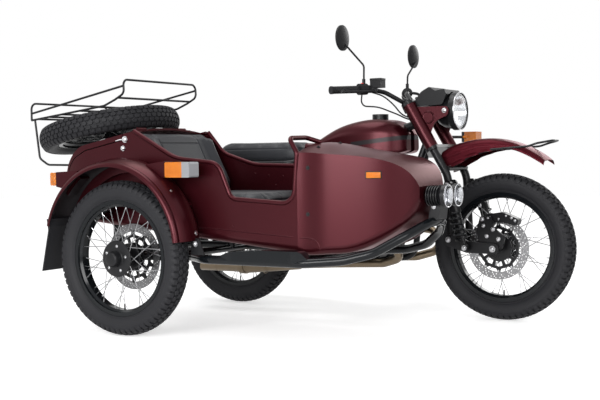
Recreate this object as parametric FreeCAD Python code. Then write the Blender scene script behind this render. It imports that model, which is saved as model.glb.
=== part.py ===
import FreeCAD, Part
import math
import os

# Motorcycle with a passenger sidecar on its right: one STEP file for each named piece, in millimetres.
# The pieces are built with X forward from the rear axle, Y to the left of the motorcycle's mid plane and
# Z up from the ground. The last lines move them all so that the origin is the middle of the footprint.


# ---------------------------------------------------------------- driving dimensions
WHEELBASE = 1500.0          # rear axle to front axle
SIDECAR_LEAD = 171.0        # sidecar axle ahead of the rear axle
SIDECAR_TRACK = 1147.0      # motorcycle's mid plane to the sidecar wheel's mid plane

TYRE_R = 343.0
TYRE_W = 108.0
RIM_R = 255.0               # top of the rim's flanges
BEAD_R = 241.0              # seat of the tyre's bead
RIM_WELL_R = 231.0          # floor of the drop centre
RIM_W = 72.0
RIM_WALL = 3.0
HUB_R = 38.0
HUB_W = 100.0
FLANGE_R = 62.0             # spoke flanges of the hub
FLANGE_W = 8.0
FLANGE_AT = 38.0            # flange's middle from the wheel's mid plane
AXLE_R = 10.0
RUNNING = 0.08              # radial clearance of a shaft in its bore
SEAT_GAP = 0.3              # clearance between pieces that seat on each other
SPOKES = 40
SPOKE_R = 1.7
SPOKE_LEAN = 52.0           # degrees between a spoke's ends, seen along the axle
DISC_R = 147.0
DISC_IN_R = 100.0
DISC_T = 5.0
DISC_AT = 70.0              # brake disc's middle from the wheel's mid plane

RAKE = 30.0                 # steering axis back from upright
FRONT_X = 1500.0            # front axle where the front end's own points are given
HEAD_X, HEAD_Z = 1030.0, 990.0      # a point on the steering axis, beside that axle
HEAD_LOW, HEAD_TOP = -228.0, -6.0   # ends of the steering head, along the axis from that point
HEAD_R = 28.0
STEM_R = 14.0
FORK_HALF = 110.0           # fork tube from the mid plane
FORK_AHEAD = 50.0           # fork tube ahead of the steering axis
FORK_R = 19.0
YOKE_T = 15.0
ELBOW = (1270.0, 675.0)     # x, z where the fork tubes turn upright
LINK_PIVOT = (1283.0, 380.0)
LINK_T = 14.0
LINK_Y = FORK_HALF + FORK_R + LINK_T / 2 + 2   # leading link's mid plane from the vehicle's

CRADLE_HALF = 138.0
CRADLE_R = 16.0
CRADLE_Z = 258.0
CRADLE_X = (390.0, WHEELBASE - 525.0)
DOWN_BEND = (WHEELBASE - 415.0, 30.0, 745.0)   # where the down tubes straighten below the steering head
TOP_TUBE_R = 20.0
RAIL_R = 13.0               # seat rails
RAIL_Z = 745.0
RAIL_END_X = -150.0
UPRIGHT_X = 400.0           # top of the uprights behind the gearbox

CRANK_X, CRANK_Z = 800.0, 415.0
HEAD_Y = 372.0              # outer end of the cylinder heads
CASE_HALF = 112.0
SILENCER_Y, SILENCER_Z, SILENCER_R = 250.0, 232.0, 42.0
PIPE_R = 21.0

SWING_PIVOT = (392.0, 335.0)
SWING_HALF = 102.0
SWING_R = 17.0

REAR_SHOCK_LOW = (22.0, 392.0)
REAR_SHOCK_TOP = (96.0, 731.0)
REAR_SHOCK_Y = 184.0

SEAT_X = (-60.0, 452.0)
SEAT_TOP = 850.0
SEAT_HALF = 130.0

TUB_MID = 402.0 - SIDECAR_TRACK     # sidecar body's mid plane
TUB_HALF = 285.0
TUB_WALL = 8.0
NOSE_X = 1004.0             # back edge of the front deck
LID_X = 74.0                # front edge of the boot lid
LID_DEPTH = 24.0            # lid's skirt below the body's top line
LID_GAP = 5.0
HINGE_R = 6.5               # knuckles of the lid's two hinges
HINGE_Z = 918.0
HINGE_Y = 150.0             # each hinge from the tub's mid plane
RIM_TUBE_R = 10.0
APEX = (143.0, 905.0)       # highest point of the body's sides
FRAME_HALF = 335.0          # sidecar frame's long tubes from the tub's mid plane
FRAME_R = 19.0
FRAME_Z = 345.0

FENDER_R = 384.0            # outer bead of the sidecar's fender, round a centre above the axle
FENDER_CENTRE = (150.0, 386.0)
FENDER_T = 4.0
FENDER_Y = (-SIDECAR_TRACK - 81.0, -SIDECAR_TRACK + 85.0)

SPARE_AT = (-240.0, TUB_MID - 5.0, 920.0)
SPARE_PITCH = 11.5
RACK_R = 5.0

AXLE_Z = TYRE_R


# ---------------------------------------------------------------- small helpers
def at(x, y, z):
    return FreeCAD.Vector(x, y, z)


X, Y, Z = at(1, 0, 0), at(0, 1, 0), at(0, 0, 1)


def bar(start, end, radius):
    way = end - start
    return Part.makeCylinder(radius, way.Length, start, way)


def taper(start, end, first, last):
    way = end - start
    return Part.makeCone(first, last, way.Length, start, way)


def block(xs, ys, zs):
    return Part.makeBox(xs[1] - xs[0], ys[1] - ys[0], zs[1] - zs[0], at(xs[0], ys[0], zs[0]))


def joined(*shapes):
    whole = shapes[0].multiFuse(list(shapes[1:])) if len(shapes) > 1 else shapes[0]
    return whole.removeSplitter()


def largest(shape):
    return max(shape.Solids, key=lambda solid: solid.Volume)


def both_sides(shape):
    return [shape, shape.mirror(at(0, 0, 0), Y)]


def turn(before, here, after, radius):
    """Start, middle and end of the tangent arc that rounds a corner, kept inside its two runs."""
    back = (before - here)
    on = (after - here)
    shorter = min(back.Length, on.Length)
    half = back.getAngle(on) / 2
    radius = min(radius, 0.48 * shorter * math.tan(half))
    back.normalize()
    on.normalize()
    middle = back + on
    middle.normalize()
    reach = radius / math.tan(half)
    centre = here + middle * (radius / math.sin(half))
    return here + back * reach, centre - middle * radius, here + on * reach


def edges_through(points, bends, closed=False):
    """Straight runs through the points, with a tangent arc of its own radius at each inner one."""
    count = len(points)
    turns = []
    for i, here in enumerate(points):
        ends = not closed and i in (0, count - 1)
        if ends or bends[i] <= 0:
            turns.append((here, None, here))
        else:
            turns.append(turn(points[i - 1], here, points[(i + 1) % count], bends[i]))
    edges = []
    for i in range(count):
        first, middle, last = turns[i]
        if middle is not None:
            edges.append(Part.Arc(first, middle, last).toShape())
        if i + 1 < count or closed:
            following = turns[(i + 1) % count][0]
            if (following - last).Length > 1e-6:
                edges.append(Part.LineSegment(last, following).toShape())
    return edges


def rod(points, radius, bend):
    """Round rod along straight runs; bend is one radius, or one for each point."""
    bends = bend if isinstance(bend, (list, tuple)) else [bend] * len(points)
    path = Part.Wire(edges_through(points, bends))
    ring = Part.Wire(Part.makeCircle(radius, points[0], points[1] - points[0]))
    return path.makePipeShell([ring], True, False)


def rounded(place, corners):
    """Closed outline of corners (a, b, radius); place turns (a, b) into a point in space."""
    points = [place(a, b) for a, b, radius in corners]
    return Part.Wire(edges_through(points, [radius for a, b, radius in corners], True))


def drawn(place, start, *steps):
    """Closed outline: a step is a point, or two points for an arc through the first to the second."""
    edges = []
    here = start
    for step in steps + (start,):
        arc = isinstance(step[0], tuple)
        end = step[1] if arc else step
        if arc:
            edges.append(Part.Arc(place(*here), place(*step[0]), place(*end)).toShape())
        elif end != here:
            edges.append(Part.LineSegment(place(*here), place(*end)).toShape())
        here = end
    return Part.Wire(edges)


def side(y):
    return lambda x, z: at(x, y, z)


def plan(z):
    return lambda x, y: at(x, y, z)


def across(x, middle=0.0):
    return lambda y, z: at(x, middle + y, z)


def plate(outline, way):
    return Part.Face(outline).extrude(way)


def ring_place(centre):
    """Half plane through an axle along Y: distance from the axle, then place along it."""
    return lambda r, w: centre + at(0, w, r)


def spun(outline, centre, axis=Y, degrees=360):
    return Part.Face(outline).revolve(centre, axis, degrees)


def tube_ring(centre, way, outer, inner):
    """Plain ring that starts at the centre and is as long as way."""
    whole = Part.makeCylinder(outer, way.Length, centre, way)
    hole = Part.makeCylinder(inner, way.Length + 2, centre - way * (1 / way.Length), way)
    return whole.cut(hole)


# ---------------------------------------------------------------- wheels, made round the origin
def tyre_shape():
    half = RIM_W / 2 - RIM_WALL
    flange = RIM_R + 2
    shoulder = TYRE_R - 16
    wide = TYRE_W / 2
    outline = drawn(
        ring_place(at(0, 0, 0)),
        (BEAD_R, -half), (flange, -half), ((300, -wide), (shoulder, -46)),
        ((TYRE_R, 0), (shoulder, 46)), ((300, wide), (flange, half)), (BEAD_R, half))
    return spun(outline, at(0, 0, 0))


def rim_shape():
    half = RIM_W / 2
    seat = half - RIM_WALL
    well = 16.0
    outline = drawn(
        ring_place(at(0, 0, 0)),
        (RIM_R, -half), (RIM_R, -seat), (BEAD_R, -seat), (BEAD_R, -well - 8), (RIM_WELL_R, -well),
        (RIM_WELL_R, well), (BEAD_R, well + 8), (BEAD_R, seat), (RIM_R, seat), (RIM_R, half),
        (BEAD_R - RIM_WALL, half), (BEAD_R - RIM_WALL, well + 9), (RIM_WELL_R - RIM_WALL, well + 1),
        (RIM_WELL_R - RIM_WALL, -well - 1), (BEAD_R - RIM_WALL, -well - 9), (BEAD_R - RIM_WALL, -half))
    return spun(outline, at(0, 0, 0))


def hub_shape(disc_side, blind_side=0):
    """Spoked hub with a bore for its axle; blind_side closes one end with a round cap."""
    low, high = FLANGE_AT - FLANGE_W / 2, FLANGE_AT + FLANGE_W / 2
    end = HUB_W / 2
    bore = AXLE_R + RUNNING
    outline = drawn(
        ring_place(at(0, 0, 0)),
        (bore, -end), (HUB_R - 6, -end), (HUB_R, -high - 2), (FLANGE_R, -high), (FLANGE_R, -low),
        (HUB_R, -low + 3), (HUB_R, low - 3), (FLANGE_R, low), (FLANGE_R, high), (HUB_R, high + 2),
        (HUB_R - 6, end), (bore, end))
    hub = spun(outline, at(0, 0, 0))
    face = DISC_AT - DISC_T / 2
    centre = at(0, disc_side * (end - 1), 0)
    spacer = tube_ring(centre, at(0, disc_side * (face - end - 5), 0), HUB_R - 4, bore)
    carrier = tube_ring(at(0, disc_side * (face - 6), 0), at(0, disc_side * 6, 0), DISC_IN_R + 3, bore)
    for k in range(6):
        a = math.radians(60 * k + 30)
        spot = at(74 * math.cos(a), 0, 74 * math.sin(a))
        carrier = carrier.cut(bar(spot, spot + at(0, disc_side * 100, 0), 17))
    pieces = [hub, spacer, carrier]
    if blind_side:
        start = at(0, blind_side * (end - 14), 0)
        pieces.append(bar(start, at(0, blind_side * (end + 12), 0), 46))
        pieces.append(taper(at(0, blind_side * (end + 12), 0), at(0, blind_side * (end + 40), 0), 34, 28))
    return joined(*pieces)


def disc_shape(disc_side):
    start = at(0, disc_side * (DISC_AT - DISC_T / 2), 0)
    return tube_ring(start, at(0, disc_side * DISC_T, 0), DISC_R, DISC_IN_R)


def spoke_rod(start, end):
    """Spoke as a six-sided rod."""
    way = end - start
    across = way.cross(Y)
    across.normalize()
    up = way.cross(across)
    up.normalize()
    corners = []
    for k in range(6):
        a = math.radians(60 * k)
        corners.append(start + across * (SPOKE_R * math.cos(a)) + up * (SPOKE_R * math.sin(a)))
    return Part.Face(Part.makePolygon(corners + [corners[0]])).extrude(way)


SPOKE_FAMILIES = (
    # flange side, lean, offset of the head in degrees, shift along the axle at the hub and at the rim
    (1, 1, 0, 1.9, 12.0),
    (1, -1, 18, -1.9, 7.5),
    (-1, 1, 9, 1.9, 12.0),
    (-1, -1, 27, -1.9, 7.5),
)


def spokes_shape():
    """Crossed spokes from the hub's flanges to the floor of the rim."""
    inner = bar(at(0, -FLANGE_AT - 30, 0), at(0, FLANGE_AT + 30, 0), FLANGE_R)
    outer = tube_ring(at(0, -RIM_W, 0), at(0, 2 * RIM_W, 0), RIM_R, RIM_WELL_R - RIM_WALL)
    rods = []
    for flange, lean, head, hub_shift, rim_at in SPOKE_FAMILIES:
        a = math.radians(head)
        b = math.radians(head + lean * SPOKE_LEAN)
        hub_at = flange * (FLANGE_AT + hub_shift)
        start = at((FLANGE_R - 4) * math.cos(a), hub_at, (FLANGE_R - 4) * math.sin(a))
        end = at(RIM_WELL_R * math.cos(b), flange * rim_at, RIM_WELL_R * math.sin(b))
        one = spoke_rod(start, end).cut(inner).cut(outer)
        for k in range(SPOKES // len(SPOKE_FAMILIES)):
            copy = one.copy()
            copy.rotate(at(0, 0, 0), Y, k * 360.0 * len(SPOKE_FAMILIES) / SPOKES)
            rods.append(copy)
    return Part.makeCompound(rods)


WHEELS = (
    # name, axle x, mid plane y, brake disc's side, closed side of the hub
    ("front", WHEELBASE, 0.0, -1, 0),
    ("rear", 0.0, 0.0, 1, 0),
    ("sidecar", SIDECAR_LEAD, -SIDECAR_TRACK, 1, -1),
)


def wheel_nodes(nodes):
    tyre, rim, spokes = tyre_shape(), rim_shape(), spokes_shape()
    for name, x, y, disc_side, blind in WHEELS:
        centre = at(x, y, AXLE_Z)
        nodes[name + "_tyre"] = tyre.translated(centre)
        nodes[name + "_rim"] = rim.translated(centre)
        nodes[name + "_spokes"] = spokes.translated(centre)
        pair = Part.makeCompound([hub_shape(disc_side, blind), disc_shape(disc_side)])
        nodes[name + "_hub"] = pair.translated(centre)
    nodes["spare_tyre"] = laid_flat(tyre)
    nodes["spare_wheel"] = laid_flat(Part.makeCompound([rim, spokes, hub_shape(1)]))


def laid_flat(shape):
    """Moves what is made round the origin to the spare wheel's place, with its axle upright."""
    copy = shape.copy()
    copy.rotate(at(0, 0, 0), X, 90)
    copy.rotate(at(0, 0, 0), Y, -SPARE_PITCH)
    return copy.translated(at(*SPARE_AT))


# ---------------------------------------------------------------- steering: a frame of its own
TILT = math.radians(RAKE)
UP = at(-math.sin(TILT), 0, math.cos(TILT))
AHEAD = at(math.cos(TILT), 0, math.sin(TILT))
HEAD = at(HEAD_X, 0, HEAD_Z)


def steer(up, ahead=0.0, left=0.0):
    """Point placed from the steering head: along its axis, ahead of it and to the left."""
    return HEAD + UP * up + AHEAD * ahead + Y * left


def yoke(up):
    """Plate that clamps both fork tubes and carries the stem."""
    wide = FORK_HALF + FORK_R + 10
    outline = rounded(
        lambda ahead, left: steer(up, ahead, left),
        [(FORK_AHEAD + 28, -wide, 20), (FORK_AHEAD + 28, wide, 20), (FORK_AHEAD - 26, wide, 20),
         (-STEM_R - 10, 26, 16), (-STEM_R - 10, -26, 16), (FORK_AHEAD - 26, -wide, 20)])
    return plate(outline, UP * YOKE_T)


UPPER_YOKE = HEAD_TOP + 6
LOWER_YOKE = HEAD_LOW - 6 - YOKE_T
SHOCK_TOP = (1297.0, 640.0)
SHOCK_LOW = (1378.0, 347.0)
SHOCK_Y = LINK_Y + LINK_T / 2 + 26


def fork_leg():
    y = FORK_HALF
    top = steer(UPPER_YOKE + YOKE_T + 8, FORK_AHEAD, y)
    elbow = at(ELBOW[0], y, ELBOW[1])
    foot = at(LINK_PIVOT[0], y, LINK_PIVOT[1])
    leg = rod([top, elbow, foot], FORK_R, 140)
    reach = LINK_Y - LINK_T / 2 - SEAT_GAP
    knuckle = bar(at(foot.x, y - FORK_R - 6, foot.z), at(foot.x, reach, foot.z), 25)
    pin = bar(at(foot.x, y, foot.z), at(foot.x, LINK_Y + LINK_T / 2 + 8, foot.z), 8)
    shock_pin = bar(at(SHOCK_TOP[0], y - 4, SHOCK_TOP[1]), at(SHOCK_TOP[0], SHOCK_Y + 16, SHOCK_TOP[1]), 8)
    lug = bar(at(SHOCK_TOP[0], y - 4, SHOCK_TOP[1]), at(SHOCK_TOP[0], LINK_Y - 18, SHOCK_TOP[1]), 20)
    return joined(leg, knuckle, pin, shock_pin, lug)


def fork():
    legs = both_sides(fork_leg())
    stem = bar(steer(LOWER_YOKE + 4), steer(UPPER_YOKE + YOKE_T + 5), STEM_R)
    # the bridge passes over the tyre and also carries the fender's back end
    return joined(legs[0], legs[1], stem, yoke(UPPER_YOKE), yoke(LOWER_YOKE), fork_bridge(12))


def fork_bridge(radius):
    return bar(at(1266, -FORK_HALF, 712), at(1266, FORK_HALF, 712), radius)


def link_outline(y):
    pivot, shock = LINK_PIVOT, SHOCK_LOW
    return rounded(side(y), [
        (pivot[0] - 27, pivot[1] + 20, 20), (pivot[0] + 20, pivot[1] + 26, 18),
        (shock[0] + 10, shock[1] + 26, 40), (FRONT_X + 28, AXLE_Z + 24, 20),
        (FRONT_X + 28, AXLE_Z - 24, 20), (shock[0] - 5, shock[1] - 26, 40),
        (pivot[0] - 27, pivot[1] - 24, 20)])


def leading_link():
    arm = plate(link_outline(LINK_Y - LINK_T / 2), Y * LINK_T)
    pivot = at(LINK_PIVOT[0], LINK_Y - LINK_T, LINK_PIVOT[1])
    arm = arm.cut(bar(pivot, pivot + Y * (2 * LINK_T), 8 + RUNNING))
    pin = bar(at(SHOCK_LOW[0], LINK_Y, SHOCK_LOW[1]), at(SHOCK_LOW[0], SHOCK_Y + 16, SHOCK_LOW[1]), 8)
    arm = joined(arm, pin)
    inner = LINK_Y - LINK_T / 2
    nut = LINK_Y + LINK_T / 2 + 10
    axle = bar(at(FRONT_X, -nut, AXLE_Z), at(FRONT_X, nut, AXLE_Z), AXLE_R)
    left_spacer = bar(at(FRONT_X, HUB_W / 2 + 1, AXLE_Z), at(FRONT_X, inner + 1, AXLE_Z), 16)
    right_spacer = bar(at(FRONT_X, -DISC_AT + 1, AXLE_Z), at(FRONT_X, -inner - 1, AXLE_Z), 16)
    return joined(*both_sides(arm), axle, left_spacer, right_spacer)


def shock(low, top, y, width=52.0):
    """Spring and damper between two pins along Y: eyes, a thin rod and a fat spring cover."""
    start, end = at(low[0], y, low[1]), at(top[0], y, top[1])
    way = end - start
    long = way.Length
    way.normalize()
    eyes = []
    for centre in (start, end):
        whole = bar(centre - Y * 13, centre + Y * 13, 17)
        eyes.append(whole.cut(bar(centre - Y * 14, centre + Y * 14, 8 + SEAT_GAP)))
    rod_piece = bar(start + way * 13, end - way * 13, 9)
    spring = bar(start + way * 42, end - way * 34, width / 2)
    cover = bar(start + way * (0.55 * long), end - way * 30, width / 2 + 4)
    return joined(eyes[0], eyes[1], rod_piece, spring, cover)


def front_shocks():
    one = shock(SHOCK_LOW, SHOCK_TOP, SHOCK_Y, 44)
    return Part.makeCompound(both_sides(one))


def lens(centre, radius, depth, bulge):
    """Round glass facing forward: flat at the back, domed in front."""
    ball = (radius ** 2 + bulge ** 2) / (2 * bulge)
    dome = Part.makeSphere(ball, centre + X * (bulge - ball))
    return bar(centre - X * depth, centre + X * (bulge + 1), radius).common(dome)


LAMP_X, LAMP_Z, LAMP_R = 1288.0, 983.0, 91.0
EAR_Y = 101.0
EAR_T = 5.0


def fork_ears():
    """Painted covers round the upper fork tubes, with the ears that hold the headlamp."""
    pair = []
    low, high = LOWER_YOKE + YOKE_T + SEAT_GAP, UPPER_YOKE - SEAT_GAP
    sleeve = tube_ring(steer(low, FORK_AHEAD, FORK_HALF), UP * (high - low), FORK_R + 11, FORK_R + SEAT_GAP)
    ear = plate(rounded(side(EAR_Y), [
        (1096, 1006, 10), (1276, 1004, 20), (1268, 962, 20), (1204, 936, 60), (1176, 872, 20),
        (1140, 880, 10)]), Y * EAR_T)
    foot, top = steer(low, FORK_AHEAD, FORK_HALF), steer(high, FORK_AHEAD, FORK_HALF)
    ear = ear.cut(bar(foot, top, FORK_R + SEAT_GAP))
    ear = ear.cut(bar(at(1251, 0, 985), at(1251, 200, 985), 6 + SEAT_GAP))
    badge = bar(at(1171, EAR_Y + EAR_T - 1, 955), at(1171, EAR_Y + EAR_T + 5, 955), 24)
    for one in both_sides(joined(sleeve, ear, badge)):
        pair.append(one)
    return Part.makeCompound(pair)


def headlamp():
    """Round bowl on two side bolts, open at the front for its lens."""
    place = lambda r, w: at(LAMP_X + w, 0, LAMP_Z + r)
    bowl = drawn(place, (0, -118), ((62, -98), (84, -40)), (LAMP_R - 5, -34), (LAMP_R, -28), (LAMP_R, 4),
                 (LAMP_R - 7, 4), (LAMP_R - 7, -10), (0, -10))
    body = spun(bowl, at(LAMP_X, 0, LAMP_Z), X)
    bolt = bar(at(1251, -EAR_Y - EAR_T - 6, 985), at(1251, EAR_Y + EAR_T + 6, 985), 6)
    bosses = bar(at(1251, -EAR_Y + SEAT_GAP, 985), at(1251, EAR_Y - SEAT_GAP, 985), 11)
    return joined(body, bolt, bosses)


def headlamp_lens():
    return lens(at(LAMP_X, 0, LAMP_Z), LAMP_R - 7 - SEAT_GAP, 9.7, 14)


def instrument_cowl():
    """Black cowl over the headlamp that holds the speedometer, sitting on the upper yoke."""
    shell = plate(rounded(side(-88), [
        (1244, 1087, 8), (1196, 1080, 16), (1168, 1101, 16), (1124, 1078, 24), (1074, 1012, 8),
        (1100, 1008, 4), (1232, 1014, 10), (1254, 1062, 10)]), Y * 176)
    lamp = bar(at(LAMP_X - 130, 0, LAMP_Z), at(LAMP_X + 20, 0, LAMP_Z), LAMP_R + 1.5)
    shell = shell.cut(lamp)
    for part in (yoke(UPPER_YOKE), *both_sides(fork_leg_top())):
        shell = shell.cut(part)
    return largest(shell)


def fork_leg_top():
    return bar(steer(-60, FORK_AHEAD, FORK_HALF), steer(UPPER_YOKE + YOKE_T + 9, FORK_AHEAD, FORK_HALF),
               FORK_R + 12)


BAR_R = 11.0
BAR_POINTS = (
    # x, distance from the mid plane, z: clamp, lower bend, upper bend, grip's end
    (1021.0, 0.0, 1028.0), (1021.0, 52.0, 1028.0), (950.0, 118.0, 1080.0), (912.0, 205.0, 1095.0),
    (808.0, 390.0, 1086.0))


def bar_path():
    return [at(x, y, z) for x, y, z in BAR_POINTS]


def handlebar():
    half = rod(bar_path(), BAR_R, [0, 60, 60, 70, 0])
    clamp = []
    for y in (-36.0, 36.0):
        foot = steer(UPPER_YOKE + YOKE_T - 2, 6, y)
        seat = at(1021, y, 1028)
        post = bar(foot, seat, 13)
        cap = bar(seat - Y * 12, seat + Y * 12, 20)
        clamp += [post, cap]
    return joined(*both_sides(half), *clamp).cut(yoke(UPPER_YOKE))


def along(start, end, share):
    return start + (end - start) * share


def hand_controls():
    """Grips, switch housings, lever perches and levers, both sides; the right one holds a fluid cup."""
    inner, outer = bar_path()[3], bar_path()[4]
    way = outer - inner
    hole = rod(bar_path()[1:], BAR_R + SEAT_GAP, [0, 60, 70, 0])
    grip = bar(along(inner, outer, 0.30), along(inner, outer, 1.0) + way * 0.01, 16.5)
    end = bar(along(inner, outer, 0.985), along(inner, outer, 1.03), 19)
    switch = bar(along(inner, outer, 0.10), along(inner, outer, 0.30), 27)
    perch = bar(along(inner, outer, -0.04), along(inner, outer, 0.10), 19)
    nose = along(inner, outer, 0.03)
    arm = rod([nose, nose + at(52, 6, -6), nose + at(48, 40, -12)], 7, 18)
    lever = rod([nose + at(48, 30, -11), nose + at(26, 90, -16), nose + at(-40, 190, -20)], 5.5, 80)
    hold = joined(switch, perch, arm, lever).cut(hole)
    sleeve = joined(grip, end).cut(bar(inner, outer, BAR_R + SEAT_GAP))
    left = joined(hold, sleeve)
    right = left.mirror(at(0, 0, 0), Y)
    cup_at = along(inner, outer, -0.10)
    cup = block((cup_at.x - 6, cup_at.x + 50), (-cup_at.y - 26, -cup_at.y + 26), (1100, 1140))
    right = joined(right, cup).cut(hole.mirror(at(0, 0, 0), Y))
    return Part.makeCompound([left, right])


CABLE_R = 3.5
HEAD_CLEAR = 5.5            # cable guide from the steering head
GUIDE_LONG = 78.0
CABLE = (
    # from the switch housing, down and forward to the guide
    (889.0, -242.0, 1075.0), (881.0, -240.0, 1014.0), (936.0, -165.0, 1010.0), (1000.0, -76.0, 972.0),
    (1024.0, -52.0, 955.0))
HOSE = (
    # from the end of the lever's perch, along the handlebar and down to the guide
    (906.6, -196.0, 1082.8), (941.0, -116.0, 1064.0), (986.0, -90.0, 1016.0), (1008.0, -62.0, 972.0))


def control_cables(controls, handlebars):
    """Throttle cable and brake hose of the right hand, held by a guide under the upper yoke."""
    near = -HEAD_R - HEAD_CLEAR
    far = near - 4 * CABLE_R
    guide = plate(rounded(lambda ahead, left: steer(UPPER_YOKE - GUIDE_LONG, ahead, left), [
        (0, near, 2), (14, near, 2), (14, far, 5), (0, far, 5)]), UP * GUIDE_LONG)
    held = (near + far) / 2
    cable = rod([at(*point) for point in CABLE] + [steer(-56, 5, held)], CABLE_R, 200)
    hose = rod([at(*point) for point in HOSE] + [steer(-46, 5, held)], CABLE_R, 200)
    return largest(joined(guide, cable, hose).cut(controls).cut(handlebars))


MIRRORS = (
    # side, foot x and distance from the mid plane, bend z, head x, head distance and head z
    (-1, 896.0, 236.0, 1205.0, 850.0, 350.0, 1330.0),
    (1, 896.0, 236.0, 1183.0, 880.0, 352.0, 1290.0),
)


def mirrors(controls):
    pair = []
    for sign, foot_x, foot_y, bend_z, head_x, head_y, head_z in MIRRORS:
        foot = at(foot_x, sign * foot_y, 1093.0 + 27.0)
        bend = at(foot_x + 2, sign * foot_y, bend_z)
        head = at(head_x, sign * head_y, head_z)
        stalk = rod([foot, bend, head + at(10, 0, -30)], 4.5, 25)
        nut = bar(foot + Z * 0.3, foot + Z * 22, 8)
        dish = lens(head, 60, 8, 16)
        pair.append(joined(stalk, nut, dish))
    return Part.makeCompound([largest(one.cut(controls)) for one in pair])


FENDER_HALF = 76.0
FENDER_STATIONS = (
    # x, crown of the top, foot of the sides, pressed step in the sides
    (1218.0, 795.0, 690.0, 744.0), (1262.0, 818.0, 705.0, 770.0), (1330.0, 839.0, 742.0, 794.0),
    (1400.0, 849.0, 773.0, 808.0), (1470.0, 849.0, 790.0, 814.0), (1540.0, 838.0, 798.0, 812.0),
    (1620.0, 810.0, 778.0, 790.0), (1690.0, 771.0, 742.0, 752.0), (1720.0, 747.0, 722.0, 730.0))
FENDER_STEP = 3.0           # how far the sides stand out below their step
FENDER_SHELL = 3.0
FENDER_ROLL = 22.0          # how far in the top starts to roll over
FENDER_BELOW = 60.0


def fender_form(inset):
    """Whole form of the front fender, or the space below its shell, which also runs on below the sides."""
    wires = []
    for x, crown, foot, step in FENDER_STATIONS:
        half, over = FENDER_HALF - FENDER_STEP - inset, FENDER_HALF - inset
        top = crown - inset
        roll = min(FENDER_ROLL, (top - step) * 0.55)
        bend, edge = half - roll * 0.6, half - roll * 1.9
        low = foot if inset == 0 else foot - FENDER_BELOW
        wires.append(drawn(
            across(x), (-over, low), (-over, step - 2), (-half, step + 1), (-half, top - roll - 8),
            ((-bend, top - 9), (-edge, top - 3)), ((0, top), (edge, top - 3)),
            ((bend, top - 9), (half, top - roll - 8)), (half, step + 1), (over, step - 2), (over, low)))
    return Part.makeLoft(wires, True, False)


def front_fender():
    """High fender: a crowned strip that follows one arc, with deeper stepped sides at its back half."""
    shell = fender_form(0).cut(fender_form(FENDER_SHELL))
    return largest(shell.cut(fork_bridge(12 + SEAT_GAP)))


def fender_rail(fender):
    """Rod along both sides of the fender that loops round its front as a handle."""
    y = FENDER_HALF + RACK_R + SEAT_GAP
    points = [at(1469, -y, 797), at(1650, -y, 809), at(1690, -y, 822), at(1752, -44, 834), at(1752, 44, 834),
              at(1690, y, 822), at(1650, y, 809), at(1469, y, 797)]
    return largest(rod(points, RACK_R, [0, 100, 30, 40, 40, 30, 100, 0]).cut(fender))


def front_indicator():
    stalk = bar(steer(-176, FORK_AHEAD, FORK_HALF + 10), at(1240, 196, 862), 7)
    lamp = block((1212, 1288), (190, 262), (838, 888))
    return largest(joined(stalk, lamp).cut(fork_ears()))


PAD_ROOM = 5.5              # caliper's slot past each face of the disc


def brake_caliper():
    """Caliper that straddles the front disc, on a bracket from the leading link."""
    body = plate(rounded(side(-DISC_AT - 26), [
        (1426, 434, 14), (1448, 498, 16), (1530, 510, 20), (1608, 478, 16), (1600, 446, 14), (1530, 462, 30),
        (1480, 461, 20)]), Y * 46)
    room = DISC_T + 2 * PAD_ROOM
    slot = tube_ring(at(FRONT_X, -DISC_AT - room / 2, AXLE_Z), Y * room, DISC_R + 6, DISC_IN_R - 10)
    body = body.cut(slot)
    bracket = plate(rounded(side(-LINK_Y + LINK_T / 2 + SEAT_GAP), [
        (1446, 336, 12), (1416, 420, 16), (1436, 492, 14), (1486, 492, 14), (1500, 440, 20), (1556, 400, 14),
        (1540, 340, 14)]), Y * 12)
    bracket = bracket.cut(bar(at(FRONT_X, -200, AXLE_Z), at(FRONT_X, 0, AXLE_Z), 16 + SEAT_GAP))
    first, last = -LINK_Y + LINK_T / 2 + 6, -DISC_AT - 20
    posts = [bar(at(x, first, z), at(x, last, z), 11) for x, z in ((1456, 478), (1480, 460))]
    return joined(body, bracket, *posts)


# ---------------------------------------------------------------- motorcycle: frame, engine, bodywork
FRONT = at(WHEELBASE - FRONT_X, 0, 0)       # moves the front end to its axle


def top_line():
    return [steer(-70) + FRONT, at(640, 0, 806), at(UPRIGHT_X, 0, RAIL_Z - 8)]


def seat_rail(sign, radius):
    y = sign * CRADLE_HALF
    return rod([at(590, 0, 795), at(UPRIGHT_X, y, RAIL_Z), at(RAIL_END_X, y, RAIL_Z)], radius, 90)


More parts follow.
